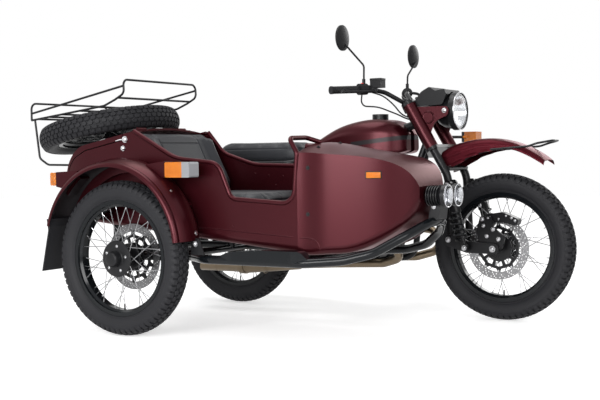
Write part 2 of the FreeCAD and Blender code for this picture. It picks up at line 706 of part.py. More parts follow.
def main_frame():
    head = tube_ring(steer(HEAD_LOW) + FRONT, UP * (HEAD_TOP - HEAD_LOW), HEAD_R, STEM_R + RUNNING)
    top = rod(top_line(), TOP_TUBE_R, 200)
    pieces = [top]
    for s in (-1, 1):
        y = s * CRADLE_HALF
        down = at(DOWN_BEND[0], s * DOWN_BEND[1], DOWN_BEND[2])
        loop = [steer(-175, -6, s * 8) + FRONT, down, at(CRADLE_X[1], y, CRADLE_Z), at(CRADLE_X[0], y, CRADLE_Z),
                at(UPRIGHT_X, y, RAIL_Z)]
        pieces.append(rod(loop, CRADLE_R, [0, 60, 90, 90, 0]))
        pieces.append(seat_rail(s, RAIL_R))
        pieces.append(bar(at(UPRIGHT_X - 6, y, 480), at(-60, y, RAIL_Z - 6), 11))
        pieces.append(rod([at(470, y, CRADLE_Z), at(470, s * 196, 312), at(470, s * 290, 312)], 11, 30))
        pin = at(REAR_SHOCK_TOP[0], y, REAR_SHOCK_TOP[1])
        pieces.append(bar(pin, pin + at(0, s * (REAR_SHOCK_Y + 14 - CRADLE_HALF), 0), 8))
    crosses = (
        # x, z, radius
        (880, CRADLE_Z, CRADLE_R), (605, CRADLE_Z, CRADLE_R), (UPRIGHT_X, RAIL_Z, RAIL_R),
        (RAIL_END_X + 10, RAIL_Z, RAIL_R), (60, RAIL_Z, 11))
    for x, z, r in crosses:
        pieces.append(bar(at(x, -CRADLE_HALF, z), at(x, CRADLE_HALF, z), r))
    pivot = bar(at(SWING_PIVOT[0], -CRADLE_HALF - 24, SWING_PIVOT[1]),
                at(SWING_PIVOT[0], CRADLE_HALF + 24, SWING_PIVOT[1]), 12)
    pieces.append(pivot)
    whole = joined(*pieces)
    whole = whole.cut(bar(steer(HEAD_LOW - 40) + FRONT, steer(HEAD_TOP + 40) + FRONT, HEAD_R - 1))
    return joined(whole, head)


def engine_case():
    """Crankcase and gearbox as one block, with a round timing cover in front and a finned sump."""
    low = CRADLE_Z + CRADLE_R + SEAT_GAP
    case = plate(rounded(side(-CASE_HALF), [
        (560, low, 20), (900, low, 40), (934, 330, 40), (934, 500, 60), (840, 560, 30), (600, 560, 20),
        (560, 520, 20)]), Y * (2 * CASE_HALF))
    cover = bar(at(925, 0, 440), at(962, 0, 440), 78)
    gearbox = plate(rounded(side(-86), [
        (424, 300, 20), (570, 292, 10), (570, 520, 10), (450, 500, 40), (424, 450, 20)]), Y * 172)
    fins = [block((630, 855), (y - 2, y + 2), (low - 11, low + 4)) for y in range(-80, 81, 20)]
    return joined(case, cover, gearbox, *fins)


def fin_plate(y, thick, reach_x, reach_z):
    corner = 26
    return plate(rounded(lambda x, z: at(CRANK_X + x, y, CRANK_Z + z), [
        (-reach_x, -reach_z, corner), (reach_x, -reach_z, corner), (reach_x, reach_z, corner),
        (-reach_x, reach_z, corner)]), Y * thick)


def cylinder():
    """Finned barrel and head, standing out sideways from the crankcase."""
    root = CASE_HALF
    barrel = bar(at(CRANK_X, root, CRANK_Z), at(CRANK_X, HEAD_Y - 70, CRANK_Z), 54)
    pieces = [barrel]
    pitch = 12.0
    count = int((HEAD_Y - 80 - root - 12) // pitch)
    for k in range(count):
        pieces.append(fin_plate(root + 14 + k * pitch, 3.5, 72, 68))
    pieces.append(fin_plate(HEAD_Y - 80, 44, 66, 62))
    for k in range(4):
        pieces.append(fin_plate(HEAD_Y - 78 + k * pitch, 3.5, 80, 74))
    pieces.append(fin_plate(HEAD_Y - 38, 38, 58, 52))
    return joined(*pieces)


def cylinders():
    return Part.makeCompound(both_sides(cylinder()))


PORT_Y = HEAD_Y - 58


def exhaust_pipe():
    """Header from the front of the head, down and back under the engine to a slash-cut silencer."""
    y = SILENCER_Y
    start = at(CRANK_X + 70, PORT_Y, CRANK_Z - 10)
    inner = CRADLE_HALF + CRADLE_R + PIPE_R + 8
    neck, bulge = at(500, inner + 8, 238), at(200, y, SILENCER_Z)
    pipe = rod([start, at(1010, PORT_Y - 20, CRANK_Z - 25), at(1092, 220, 300), at(964, inner, 262),
                at(693, inner, 250), neck, along(neck, bulge, 0.3)],
               PIPE_R, [0, 70, 50, 60, 150, 150, 0])
    cone = taper(bulge, neck, SILENCER_R + 3, PIPE_R + 4)
    seam = taper(at(201, y, SILENCER_Z), at(160, y, SILENCER_Z), SILENCER_R + 3, SILENCER_R - 3)
    band = bar(at(184, y, SILENCER_Z), at(216, y, SILENCER_Z), SILENCER_R + 5)
    can = bar(at(161, y, SILENCER_Z), at(-65, y, SILENCER_Z), SILENCER_R - 3)
    slash = plate(drawn(side(y - 60), (-70, SILENCER_Z - 50), (-70, SILENCER_Z + 50), (-33, SILENCER_Z + 50)),
                  Y * 120)
    hollow = bar(at(-80, y, SILENCER_Z), at(-10, y, SILENCER_Z), SILENCER_R - 6)
    return joined(pipe, cone, seam, band, can).cut(slash).cut(hollow)


def exhaust_system(heads):
    return Part.makeCompound(both_sides(largest(exhaust_pipe().cut(heads))))


def carburettors():
    start = at(CRANK_X - 80 - SEAT_GAP, PORT_Y, CRANK_Z + 20)
    tube = bar(start, start - X * 120, 22)
    bowl = bar(start + at(-60, 0, -46), start + at(-60, 0, 52), 27)
    return Part.makeCompound(both_sides(joined(tube, bowl)))


TANK_SECTIONS = (
    # x, bottom, top, half width, top corner radius
    (470, 800, 846, 86, 20), (561, 797, 862, 108, 28), (654, 792, 910, 130, 52), (779, 786, 946, 148, 72),
    (875, 783, 955, 150, 78), (955, 783, 943, 134, 68), (1008, 789, 915, 104, 54), (1036, 801, 880, 70, 36))


def fuel_tank():
    """Rounded tank, lofted through cross sections, that sits astride the frame's top tube."""
    wires = []
    for x, low, high, half, soft in TANK_SECTIONS:
        wires.append(rounded(across(x), [
            (-half, low, 14), (half, low, 14), (half * 0.97, high, soft), (-half * 0.97, high, soft)]))
    tank = Part.makeLoft(wires, True, False)
    room = TOP_TUBE_R + SEAT_GAP
    line = top_line()
    tunnel = rod(line, room, 200)
    below = [(p.x, p.z) for p in line] + [(line[2].x, 600), (1100, 600)]
    slot = plate(drawn(side(-room), *below), Y * (2 * room))
    rails = [seat_rail(s, RAIL_R + SEAT_GAP) for s in (-1, 1)]
    return tank.cut(tunnel.multiFuse([slot] + rails))


def fuel_cap(tank):
    return bar(at(861, 0, 930), at(861, 0, 981), 40).cut(tank)


def rider_seat(frame):
    """Bench seat that rests on the frame's rails and cross tubes."""
    base = RAIL_Z + RAIL_R + 0.2
    outline = rounded(side(-SEAT_HALF), [
        (SEAT_X[0], base, 10), (SEAT_X[0] - 6, SEAT_TOP, 34), (SEAT_X[1], SEAT_TOP - 6, 30),
        (SEAT_X[1], base + 44, 12), (SEAT_X[1] - 60, base, 20)])
    pad = plate(outline, Y * (2 * SEAT_HALF))
    clear = [seat_rail(s, RAIL_R + SEAT_GAP) for s in (-1, 1)] + [rod(top_line(), TOP_TUBE_R + SEAT_GAP, 200)]
    return largest(pad.cut(clear[0].multiFuse(clear[1:])).cut(frame))


def side_covers(frame):
    """Painted panels below the seat, each on two studs that stand out from the frame's uprights."""
    y = CRADLE_HALF + CRADLE_R + 4
    pair = []
    cover = plate(rounded(side(y), [
        (372, 548, 40), (560, 560, 50), (600, 706, 40), (372, 716, 30)]), Y * 8)
    studs = [bar(at(395, CRADLE_HALF, z), at(396, y + 1, z), 7) for z in (590, 690)]
    one = joined(cover, *studs)
    for shape in both_sides(one):
        pair.append(largest(shape.cut(frame)))
    return Part.makeCompound(pair)


def strip_round(outline, axle, first, last):
    """Outline drawn above an axle, swept round it from one angle to another, 0 ahead and 90 on top."""
    shape = spun(outline, axle, Y, last - first)
    shape.rotate(axle, Y, 90 - last)
    return shape


def rear_fender(frame):
    """Crowned fender round the back half of the rear wheel."""
    half, crown, edge, thick = 76.0, 378.0, 350.0, 3.0
    axle = at(0, 0, AXLE_Z)
    outline = drawn(ring_place(axle), (edge, -half), ((crown, 0), (edge, half)), (edge, half - thick),
                    ((crown - thick, 0), (edge, -half + thick)))
    shape = strip_round(outline, axle, 50, 196)
    posts = []
    for x in (RAIL_END_X + 10, 60):
        crown_z = AXLE_Z + math.sqrt((crown - thick) ** 2 - x ** 2)
        posts.append(bar(at(x, 0, crown_z), at(x, 0, RAIL_Z), 9))
    return largest(joined(shape, *posts).cut(frame))


def tail_lamp(fender):
    base = block((-396, -320), (-45, 45), (478, 560))
    return largest(base.cut(fender))


def swingarm():
    pivot_x = SWING_PIVOT[0]
    z = SWING_PIVOT[1]
    wide = SWING_HALF + SWING_R
    tube = tube_ring(at(pivot_x, -wide, z), Y * (2 * wide), 24, 12 + RUNNING)
    arms = []
    for s in (-1, 1):
        y = s * SWING_HALF
        arms.append(bar(at(pivot_x - 18, y, z), at(20, y, AXLE_Z), SWING_R))
        arms.append(plate(rounded(side(y - 8), [(-34, 312, 24), (40, 318, 20), (44, 372, 20), (40, 412, 18),
                                                (4, 412, 18), (-34, 372, 24)]), Y * 16))
        low = at(REAR_SHOCK_LOW[0], y, REAR_SHOCK_LOW[1])
        arms.append(bar(low, low + at(0, s * (REAR_SHOCK_Y + 14 - SWING_HALF), 0), 8))
    axle = bar(at(0, -SWING_HALF - 24, AXLE_Z), at(0, SWING_HALF + 24, AXLE_Z), AXLE_R)
    drive = taper(at(0, -SWING_HALF + 12, AXLE_Z), at(0, -HUB_W / 2 - 5, AXLE_Z), 62, 84)
    spacer = bar(at(0, DISC_AT + 5, AXLE_Z), at(0, SWING_HALF, AXLE_Z), 16)
    body = joined(tube, *arms, drive)
    shaft = bar(at(60, -SWING_HALF, AXLE_Z), at(pivot_x - 60, -SWING_HALF, z), 24)
    return joined(body, axle, spacer, shaft)


def rear_shocks():
    one = shock(REAR_SHOCK_LOW, REAR_SHOCK_TOP, REAR_SHOCK_Y)
    return Part.makeCompound(both_sides(one))


# ---------------------------------------------------------------- sidecar body
TUB_STATIONS = (
    # x, half width, bottom, side's top edge, crown above that edge
    (-288.0, 263.0, 646.0, 722.0, 4.0), (-262.0, 270.0, 560.0, 776.0, 16.0),
    (-225.0, 278.0, 516.0, 814.0, 22.0), (-150.0, TUB_HALF, 492.0, 848.0, 26.0),
    (APEX[0], TUB_HALF, 463.0, APEX[1], 22.0), (NOSE_X, TUB_HALF, 378.0, 793.0, 45.0),
    (1120.0, 280.0, 378.0, 789.0, 29.0), (1215.0, 261.0, 386.0, 782.0, 18.0),
    (1300.0, 233.0, 414.0, 772.0, 12.0), (1372.0, 201.0, 456.0, 755.0, 8.0),
    (1425.0, 168.0, 500.0, 729.0, 5.0), (1460.0, 137.0, 550.0, 690.0, 4.0),
    (1476.0, 116.0, 594.0, 650.0, 3.0))


def tub_section(x, half, low, edge, crown, inset):
    half = half - inset
    low = low + inset
    edge = edge - inset
    soft = min(34.0, half * 0.45, (edge - low) * 0.4)
    chine = soft * 0.2929
    corner = (half - chine, low + chine)
    return drawn(
        across(x, TUB_MID), (-half + soft, low), (half - soft, low), (corner, (half, low + soft)),
        (half, edge), ((0, edge + crown), (-half, edge)), (-half, low + soft),
        ((-corner[0], corner[1]), (-half + soft, low)))


def tub_solid(inset):
    """Whole outer form of the body, or the space inside its walls."""
    ends = (TUB_STATIONS[0][0], TUB_STATIONS[-1][0])
    pieces = []
    for rows in (TUB_STATIONS[:4], TUB_STATIONS[3:5], TUB_STATIONS[4:6], TUB_STATIONS[5:]):
        wires = []
        for x, half, low, edge, crown in rows:
            shift = inset if x == ends[0] else -inset if x == ends[1] else 0
            wires.append(tub_section(x, half, low, edge, crown, inset).translated(at(shift, 0, 0)))
        pieces.append(Part.makeLoft(wires, True, len(rows) < 3))
    return pieces


NEAR_CUT = (
    # x, z, bend of the cockpit's outer side, from the deck's corner back to the apex
    (NOSE_X, 793.0, 0), (985.0, 584.0, 60), (672.0, 603.0, 45), (606.0, 755.0, 70), (375.0, 779.0, 250),
    (APEX[0], APEX[1], 0))
FAR_CUT = (
    (NOSE_X, 793.0, 0), (972.0, 726.0, 40), (420.0, 742.0, 300), (235.0, 800.0, 140), (APEX[0], APEX[1], 0))


def cockpit_space(cut, y, way):
    """What the cockpit's opening takes out of one side wall, above its edge."""
    above = 1100.0
    return plate(rounded(side(y), list(cut) + [(APEX[0], above, 0), (NOSE_X, above, 0)]), way)


def lid_cut():
    """Space above the seam between the boot lid and the body, as a solid across the whole tub."""
    rear = TUB_STATIONS[0][0] - 42
    line = [(rear, TUB_STATIONS[0][3] - LID_DEPTH)]
    for x, half, low, edge, crown in TUB_STATIONS[:4]:
        line.append((x, edge - LID_DEPTH))
    share = (LID_X - line[-1][0]) / (APEX[0] - line[-1][0])
    line.append((LID_X, line[-1][1] + (APEX[1] - LID_DEPTH - line[-1][1]) * share))
    above = APEX[1] + 200
    return plate(drawn(side(TUB_MID - 400), *line, (LID_X, above), (rear, above)), Y * 800)


def body_side_of_seam(shape):
    """Takes the lid's space and the gap below, ahead of and behind its seam out of a piece of the body."""
    whole = lid_cut()
    for ahead, down in ((0, 1), (1, 0), (0.9, 0.43)):
        shape = shape.cut(whole.translated(at(ahead * LID_GAP, 0, -down * LID_GAP)))
    return shape


HINGE_X = LID_X + LID_GAP / 2
HINGE_PIN_R = 3.0
KNUCKLE = 11.5              # half length of a lid's knuckle
KNUCKLE_OUT = 30.0          # far end of the body's knuckles from the hinge's middle


def hinges():
    """Knuckles, leaves and pins of the lid's hinges: the body's pieces, then the lid's."""
    fixed, moving = [], []
    for s in (-1, 1):
        middle = at(HINGE_X, TUB_MID + s * HINGE_Y, HINGE_Z)
        high = (HINGE_Z - 14, HINGE_Z - 3.5)
        for k in (-1, 1):
            near, far = k * (KNUCKLE + 0.5), k * KNUCKLE_OUT
            fixed.append(bar(middle + Y * near, middle + Y * far, HINGE_R))
            ys = sorted((middle.y + near, middle.y + far))
            fixed.append(block((HINGE_X + 2.6, HINGE_X + 34), ys, high))
        fixed.append(bar(middle - Y * KNUCKLE_OUT, middle + Y * KNUCKLE_OUT, HINGE_PIN_R))
        sleeve = bar(middle - Y * KNUCKLE, middle + Y * KNUCKLE, HINGE_R)
        leaf = block((HINGE_X - 34, HINGE_X - 2.6), (middle.y - KNUCKLE, middle.y + KNUCKLE), high)
        hole = bar(middle - Y * (KNUCKLE + 1), middle + Y * (KNUCKLE + 1), HINGE_PIN_R + RUNNING)
        moving.append(joined(sleeve, leaf).cut(hole))
    return fixed, moving


def sidecar_shell():
    outer = joined(*tub_solid(0))
    inner = joined(*tub_solid(TUB_WALL))
    return outer, inner


SEAT_BACK_TOP = (150.0, 906.0)
BACK_WAY = (0.467, -0.884)      # direction of the backrest, from its top down and forward
BACK_T = 60.0
BACK_HALF = 248.0
STRIP_X = 112.0             # back edge of the opening between the seat's top and the boot lid's hinges
CUSHION_X = 790.0
CUSHION_TOP = 618.0
PAN_Z = 492.0


def along_back(down, behind):
    """Point of the backrest's side view: down along its face, then behind it."""
    return (SEAT_BACK_TOP[0] + BACK_WAY[0] * down + BACK_WAY[1] * behind,
            SEAT_BACK_TOP[1] + BACK_WAY[1] * down - BACK_WAY[0] * behind)


def sidecar_inside(inner):
    """Bulkhead behind the seat, seat pan with its front riser, and the floor plate's rib."""
    wide = TUB_HALF - 2
    y = TUB_MID - wide
    top, low = along_back(4, BACK_T + 1), along_back(470, BACK_T + 1)
    top_b, low_b = along_back(4, BACK_T + 8), along_back(470, BACK_T + 8)
    bulkhead = plate(drawn(side(y), top, low, low_b, top_b), Y * (2 * wide))
    pan = block((210, CUSHION_X - 20), (y, y + 2 * wide), (PAN_Z - 6, PAN_Z))
    riser = block((CUSHION_X - 26, CUSHION_X - 20), (y, y + 2 * wide), (380, PAN_Z))
    inside = joined(bulkhead, pan, riser)
    return inside.common(inner)


def sidecar_body(outer, inner):
    """Boat-shaped steel tub: open cockpit, crowned front deck and a boot behind the seat."""
    shell = outer.cut(inner)
    wide = TUB_HALF + 20
    shell = shell.cut(cockpit_space(NEAR_CUT, TUB_MID - wide, Y * wide))
    shell = shell.cut(cockpit_space(FAR_CUT, TUB_MID - 0.01, Y * (wide + 0.01)))
    reach = BACK_HALF + 10
    shell = shell.cut(block((STRIP_X, APEX[0] + 1), (TUB_MID - reach, TUB_MID + reach), (850, 1000)))
    whole = joined(body_side_of_seam(shell), body_side_of_seam(sidecar_inside(inner)))
    return joined(largest(whole), *[piece.cut(inner) for piece in hinges()[0]])


def boot_lid(outer, inner):
    """Lid of the boot: the top skin of the tail, with a short skirt and the spare wheel's carrier."""
    skin = largest(outer.cut(inner).common(lid_cut()))
    foot = -HUB_W / 2 - SEAT_GAP
    top = DISC_AT - DISC_T / 2 + SEAT_GAP
    post = bar(Y * (foot - 60), Y * foot, 34)
    stub = bar(Y * (foot - 10), Y * (top + 6), AXLE_R)
    nut = bar(Y * top, Y * (top + 12), 24)
    carrier = laid_flat(joined(post, stub, nut)).cut(inner)
    return joined(skin, largest(carrier), *hinges()[1])


def rim_points(cut, y):
    return [at(x, y, z) for x, z, bend in cut]


def cockpit_rail(radius):
    """Tube that edges the cockpit's sides; on the outer side it ends in a grab loop on the deck."""
    y = TUB_MID - TUB_HALF + TUB_WALL / 2
    near = rim_points(NEAR_CUT, y)[::-1]
    bends = [bend for x, z, bend in NEAR_CUT][::-1]
    loop = [at(958, y + 14, 855), at(955, y + 156, 858), at(NOSE_X - 4, y + 200, 838)]
    near = rod(near + loop, radius, bends[:-1] + [22, 30, 30, 0])
    far = rod(rim_points(FAR_CUT, TUB_MID + TUB_HALF - TUB_WALL / 2)[::-1], radius,
              [bend for x, z, bend in FAR_CUT][::-1])
    return [near, far]


def seat_back():
    wide = BACK_HALF
    corners = [along_back(0, 0) + (34,), along_back(318, 0) + (30,), along_back(318, BACK_T) + (10,),
               along_back(0, BACK_T) + (20,)]
    return plate(rounded(side(TUB_MID - wide), corners), Y * (2 * wide))


def seat_cushion():
    wide = 250.0
    z = PAN_Z + SEAT_GAP
    drop = -BACK_WAY[1]
    back_top = along_back((SEAT_BACK_TOP[1] - CUSHION_TOP) / drop, -2)
    low = along_back((SEAT_BACK_TOP[1] - z) / drop, -2)
    return plate(rounded(side(TUB_MID - wide), [
        (low[0], z, 4), (CUSHION_X - 10, z, 24), (CUSHION_X, CUSHION_TOP, 44),
        (back_top[0], CUSHION_TOP - 6, 10)]), Y * (2 * wide))


# ---------------------------------------------------------------- sidecar frame and running gear
FRONT_LOOP = (
    # x, distance from the tub's mid plane, z of the tube that rounds the nose
    (1221.0, 302.0, 359.0), (1334.0, 253.0, 388.0), (1432.0, 176.0, 452.0), (1498.0, 60.0, 506.0))


def frame_loop(radius):
    """Tube of the sidecar's frame, from its outer back end round the nose to the inner one."""
    outer_y, inner_y = TUB_MID - FRAME_HALF, TUB_MID + FRAME_HALF
    z = FRAME_Z
    outer = [at(-70, BACK_Y, z), at(430, BACK_Y, z), at(560, outer_y, z), at(1050, outer_y, z)]
    inner = [at(1050, inner_y, z), at(-70, inner_y, z)]
    front = [at(x, TUB_MID - w, h) for x, w, h in FRONT_LOOP]
    front += [at(x, TUB_MID + w, h) for x, w, h in FRONT_LOOP[::-1]]
    return rod(outer + front + inner, radius, [0, 120, 120, 250] + [150] * len(front) + [250, 0])


BACK_Y = 157.0 - SIDECAR_TRACK      # outer tube where it passes inside the wheel
SWING_X = 330.0             # cross tube that carries the sidecar's swinging arm
ARM_Y = -SIDECAR_TRACK + DISC_AT + DISC_T / 2 + 24
CROSS_R = 16.0


def sidecar_frame(tub, motorcycle):
    """Black tube frame: a loop, cross tubes with posts under the body, and four struts to the motorcycle."""
    outer_y, inner_y = TUB_MID - FRAME_HALF, TUB_MID + FRAME_HALF
    pieces = [frame_loop(FRAME_R)]
    crosses = (
        # x, outer end
        (-45.0, BACK_Y), (SWING_X, ARM_Y - 15), (980.0, outer_y))
    for x, y in crosses:
        pieces.append(bar(at(x, y, FRAME_Z), at(x, inner_y, FRAME_Z), CROSS_R))
        for s in (-1, 1):
            foot = at(x, TUB_MID + s * 190, FRAME_Z)
            pieces.append(bar(foot, foot + Z * 160, 20).cut(tub))
    down = (at(DOWN_BEND[0], -DOWN_BEND[1], DOWN_BEND[2]), at(CRADLE_X[1], -CRADLE_HALF, CRADLE_Z))
    lines = (
        # sidecar end, motorcycle end
        (at(950, inner_y, FRAME_Z), along(down[0], down[1], 0.89)),
        (at(360, inner_y, FRAME_Z), at(CRADLE_X[0] + 3, -CRADLE_HALF, SWING_PIVOT[1] - 6)),
        (at(1040, inner_y, FRAME_Z), along(down[0], down[1], 0.26)),
        (at(120, inner_y, FRAME_Z), at(230, -CRADLE_HALF, RAIL_Z)))
    for low, high in lines:
        way = high - low
        way.normalize()
        pieces.append(bar(low, high, 14).cut(motorcycle))
        pieces.append(bar(low + way * 22, low + way * 70, 20))
    return joined(*pieces)


def step_plate(frame):
    """Long black footboard that sits on the frame's outer tube, flat on top and faired at both ends."""
    y = TUB_MID - FRAME_HALF
    foot, top = FRAME_Z, FRAME_Z + FRAME_R + 30
    board = plate(rounded(side(y - 24), [
        (600, foot, 4), (700, top - 12, 90), (860, top, 200), (1050, top, 40), (1098, foot, 6)]), Y * 72)
    ends = plate(rounded(plan(foot - 1), [
        (600, y - 2, 20), (720, y - 24, 120), (1010, y - 24, 120), (1098, y - 4, 20), (1080, y + 30, 40),
        (1000, y + 48, 60), (700, y + 48, 60), (610, y + 22, 20)]), Z * 90)
    return largest(board.common(ends).cut(frame_loop(FRAME_R + SEAT_GAP)).cut(frame))


DRIVING_X, DRIVING_APART, DRIVING_Z = 1573.0, 51.0, 612.0   # lens, and each lamp from the tub's mid plane
DRIVING_R = 47.0
DRIVING_RIM = 18.0          # length of the plain rim round the lens
DRIVING_BODY = 70.0         # length of the finned housing behind it
DRIVING_WALL = 4.0
LENS_SEAT = 8.0             # depth of the recess that takes the lens
COOLING_FINS = 5
COOLING_PITCH = 11.0


def driving_lamp(y):
    front = at(DRIVING_X, y, DRIVING_Z)
    rim = front - X * DRIVING_RIM
    start = rim - X * DRIVING_BODY
    body = [bar(start, rim - X * 10, 32)]
    for k in range(COOLING_FINS):
        fin = start + X * (4 + COOLING_PITCH * k)
        body.append(bar(fin, fin + X * 4, 41))
    body.append(taper(rim - X * 18, rim, 33, DRIVING_R))
    body.append(bar(rim, front, DRIVING_R))
    return joined(*body).cut(bar(front - X * LENS_SEAT, front + X * 3, DRIVING_R - DRIVING_WALL))


def driving_lamps():
    """The pair of lamps ahead of the nose, on one foot that sits on the frame's front loop."""
    lamps = [driving_lamp(TUB_MID + s * DRIVING_APART) for s in (-1, 1)]
    tube_x, tube_z = FRONT_LOOP[-1][0], FRONT_LOOP[-1][2]
    foot = plate(rounded(side(TUB_MID - 40), [
        (tube_x - 20, tube_z + 8, 4), (tube_x + 26, tube_z + 8, 4), (DRIVING_X - 40, DRIVING_Z - 28, 6),
        (DRIVING_X - 84, DRIVING_Z - 28, 6)]), Y * 80)
    return joined(*lamps, largest(foot.cut(frame_loop(FRAME_R + SEAT_GAP))))


def driving_lenses():
    radius = DRIVING_R - DRIVING_WALL - SEAT_GAP
    places = [at(DRIVING_X, TUB_MID + s * DRIVING_APART, DRIVING_Z) for s in (-1, 1)]
    return Part.makeCompound([lens(place, radius, LENS_SEAT - SEAT_GAP, 6) for place in places])


FENDER_FROM, FENDER_TO = 6.0, 165.0


def sidecar_fender():
    """Crowned fender round the top of the sidecar wheel, with a rolled bead and lamp brackets."""
    centre = at(FENDER_CENTRE[0], 0, FENDER_CENTRE[1])
    low, high = FENDER_Y
    mid = (low + high) / 2
    r, t = FENDER_R, FENDER_T
    flange = r - 50
    outline = drawn(
        ring_place(centre), (r - 24, low), ((r - 8, low + 3), (r - 2, low + 16)), (r - 5, low + 26),
        ((r + 15, mid), (r - 4, high - 2)), (flange, high + 4), (flange, high + 4 - t),
        (r - 4 - t, high - 2 - t), ((r + 15 - t, mid), (r - 5 - t, low + 26)), (r - 3 - t, low + 15),
        ((r - 10 - t, low + 4 + t), (r - 24, low + t)))
    shell = strip_round(outline, centre, FENDER_FROM, FENDER_TO)
    wedge = plate(rounded(side(LAMP_Y), [
        (303, 754, 4), (412, 767, 4), (412, 699, 4), (366, 690, 4)]), Y * 60)
    tail = plate(rounded(side(LAMP_Y), [
        (-222, 724, 4), (-222, 657, 4), (-186, 650, 4), (-120, 590, 4), (-60, 680, 4),
        (-96, 729, 4)]), Y * 60)
    space = Part.makeCylinder(r - 6, 400, at(FENDER_CENTRE[0], low - 72, FENDER_CENTRE[1]), Y)
    stays = []
    for degrees in (32.0, 90.0, 146.0):
        a = math.radians(degrees)
        spot = centre + at((r - 28) * math.cos(a), 0, (r - 28) * math.sin(a))
        stays.append(bar(spot + Y * high, spot + Y * (TUB_MID - TUB_HALF - SEAT_GAP), 12))
    return joined(shell, wedge.cut(space), tail.cut(space), *stays)


def mud_flap(fender):
    """Rubber flap hung inside the fender's rear end, raked back towards its foot."""
    low, high = FENDER_Y[0] + 12, FENDER_Y[1] - 8
    outline = drawn(
        side(low), (-222, 512), (-202, 512), (-203, 478), (-252, 274), (-258, 274), (-214, 462))
    flap = plate(outline, Y * (high - low))
    return largest(flap.cut(fender))


LAMP_Y = -SIDECAR_TRACK - 3.0       # outer face of the fender's lamps and their brackets
LAMP_BLOCKS = (
    # x from, x to, z from, z to
    (412.3, 545.0, 697.0, 763.0), (-258.0, -222.3, 662.0, 722.0))


def sidecar_lamps():
    pieces = []
    for x0, x1, z0, z1 in LAMP_BLOCKS:
        box = block((x0, x1), (LAMP_Y, LAMP_Y + 66), (z0, z1))
        pieces.append(box.makeFillet(8, [e for e in box.Edges if abs(e.tangentAt(e.FirstParameter).y) > 0.9]))
    return Part.makeCompound(pieces)


def sidecar_swingarm():
    """Leading-pivot arm with the stub axle of the sidecar wheel."""
    arm = bar(at(SWING_X - 20, ARM_Y, FRAME_Z), at(SIDECAR_LEAD, ARM_Y, AXLE_Z), 17)
    eye = bar(at(SWING_X, ARM_Y - 12, FRAME_Z), at(SWING_X, ARM_Y + 34, FRAME_Z), 26)
    axle = bar(at(SIDECAR_LEAD, ARM_Y + 18, AXLE_Z), at(SIDECAR_LEAD, -SIDECAR_TRACK - 20, AXLE_Z), AXLE_R)
    boss = bar(at(SIDECAR_LEAD, ARM_Y + 18, AXLE_Z), at(SIDECAR_LEAD, ARM_Y - 18, AXLE_Z), 30)
    bore = bar(at(SWING_X, ARM_Y - 40, FRAME_Z), at(SWING_X, ARM_Y + 60, FRAME_Z), CROSS_R + RUNNING)
    return joined(arm, eye, axle, boss).cut(bore)


# ---------------------------------------------------------------- luggage rack
def luggage_rack(tub):
    """Rod rack round the spare wheel: two rails, end hoops, legs and cross slats."""
    low, high = TUB_MID - 275.0, TUB_MID + 265.0
    pieces = []
    rear = [at(-498, low, 972), at(-498, low, 1053), at(-498, high, 1053), at(-498, high, 972)]
    front = [at(28, low, 1050), at(84, low, 1078), at(80, low, 1140), at(80, high, 1140), at(84, high, 1078),
             at(28, high, 1050)]
    pieces.append(rod(rear, RACK_R, [0, 30, 30, 0]))
    pieces.append(rod(front, RACK_R, [0, 30, 28, 28, 30, 0]))
    for y in (low, high):
        pieces.append(rod([at(-498, y, 972), at(-37, y, 1025), at(28, y, 1050)], RACK_R, [0, 60, 0]))
        pieces.append(bar(at(-498, y, 1004), at(82, y, 1112), RACK_R))
    for x, z in ((-456, 976.8), (-385, 985), (-302, 994.5), (-188, 1007.6), (-70, 1021), (46, 1059)):
        pieces.append(bar(at(x, low, z), at(x, high, z), RACK_R))
    for y, to in ((low, low + 80), (high, high - 80)):
        run = [at(-476, y, 974.5), at(-450, y, 788), at(-420, y + (to - y) * 0.3, 757), at(-250, to, 753)]
        pieces.append(rod(run, RACK_R, [0, 30, 30, 0]))
    return largest(joined(*pieces).cut(tub))


# ---------------------------------------------------------------- all nodes
def front_end():
    """Pieces that turn with the handlebar, each moved from its own place to the front axle."""
    nodes = {}
    nodes["fork"] = fork()
    nodes["leading_link"] = leading_link()
    nodes["front_shocks"] = front_shocks()
    nodes["fork_ears"] = fork_ears()
    nodes["headlamp"] = headlamp()
    nodes["headlamp_lens"] = headlamp_lens()
    nodes["instrument_cowl"] = instrument_cowl()
    nodes["handlebar"] = handlebar()
    nodes["hand_controls"] = hand_controls()
    nodes["control_cables"] = control_cables(nodes["hand_controls"], nodes["handlebar"])
    nodes["mirrors"] = mirrors(nodes["hand_controls"])
    nodes["front_fender"] = front_fender()
    nodes["fender_rail"] = fender_rail(nodes["front_fender"])
    nodes["front_indicator"] = front_indicator()
    nodes["brake_caliper"] = brake_caliper()
    return {name: shape.translated(FRONT) for name, shape in nodes.items()}


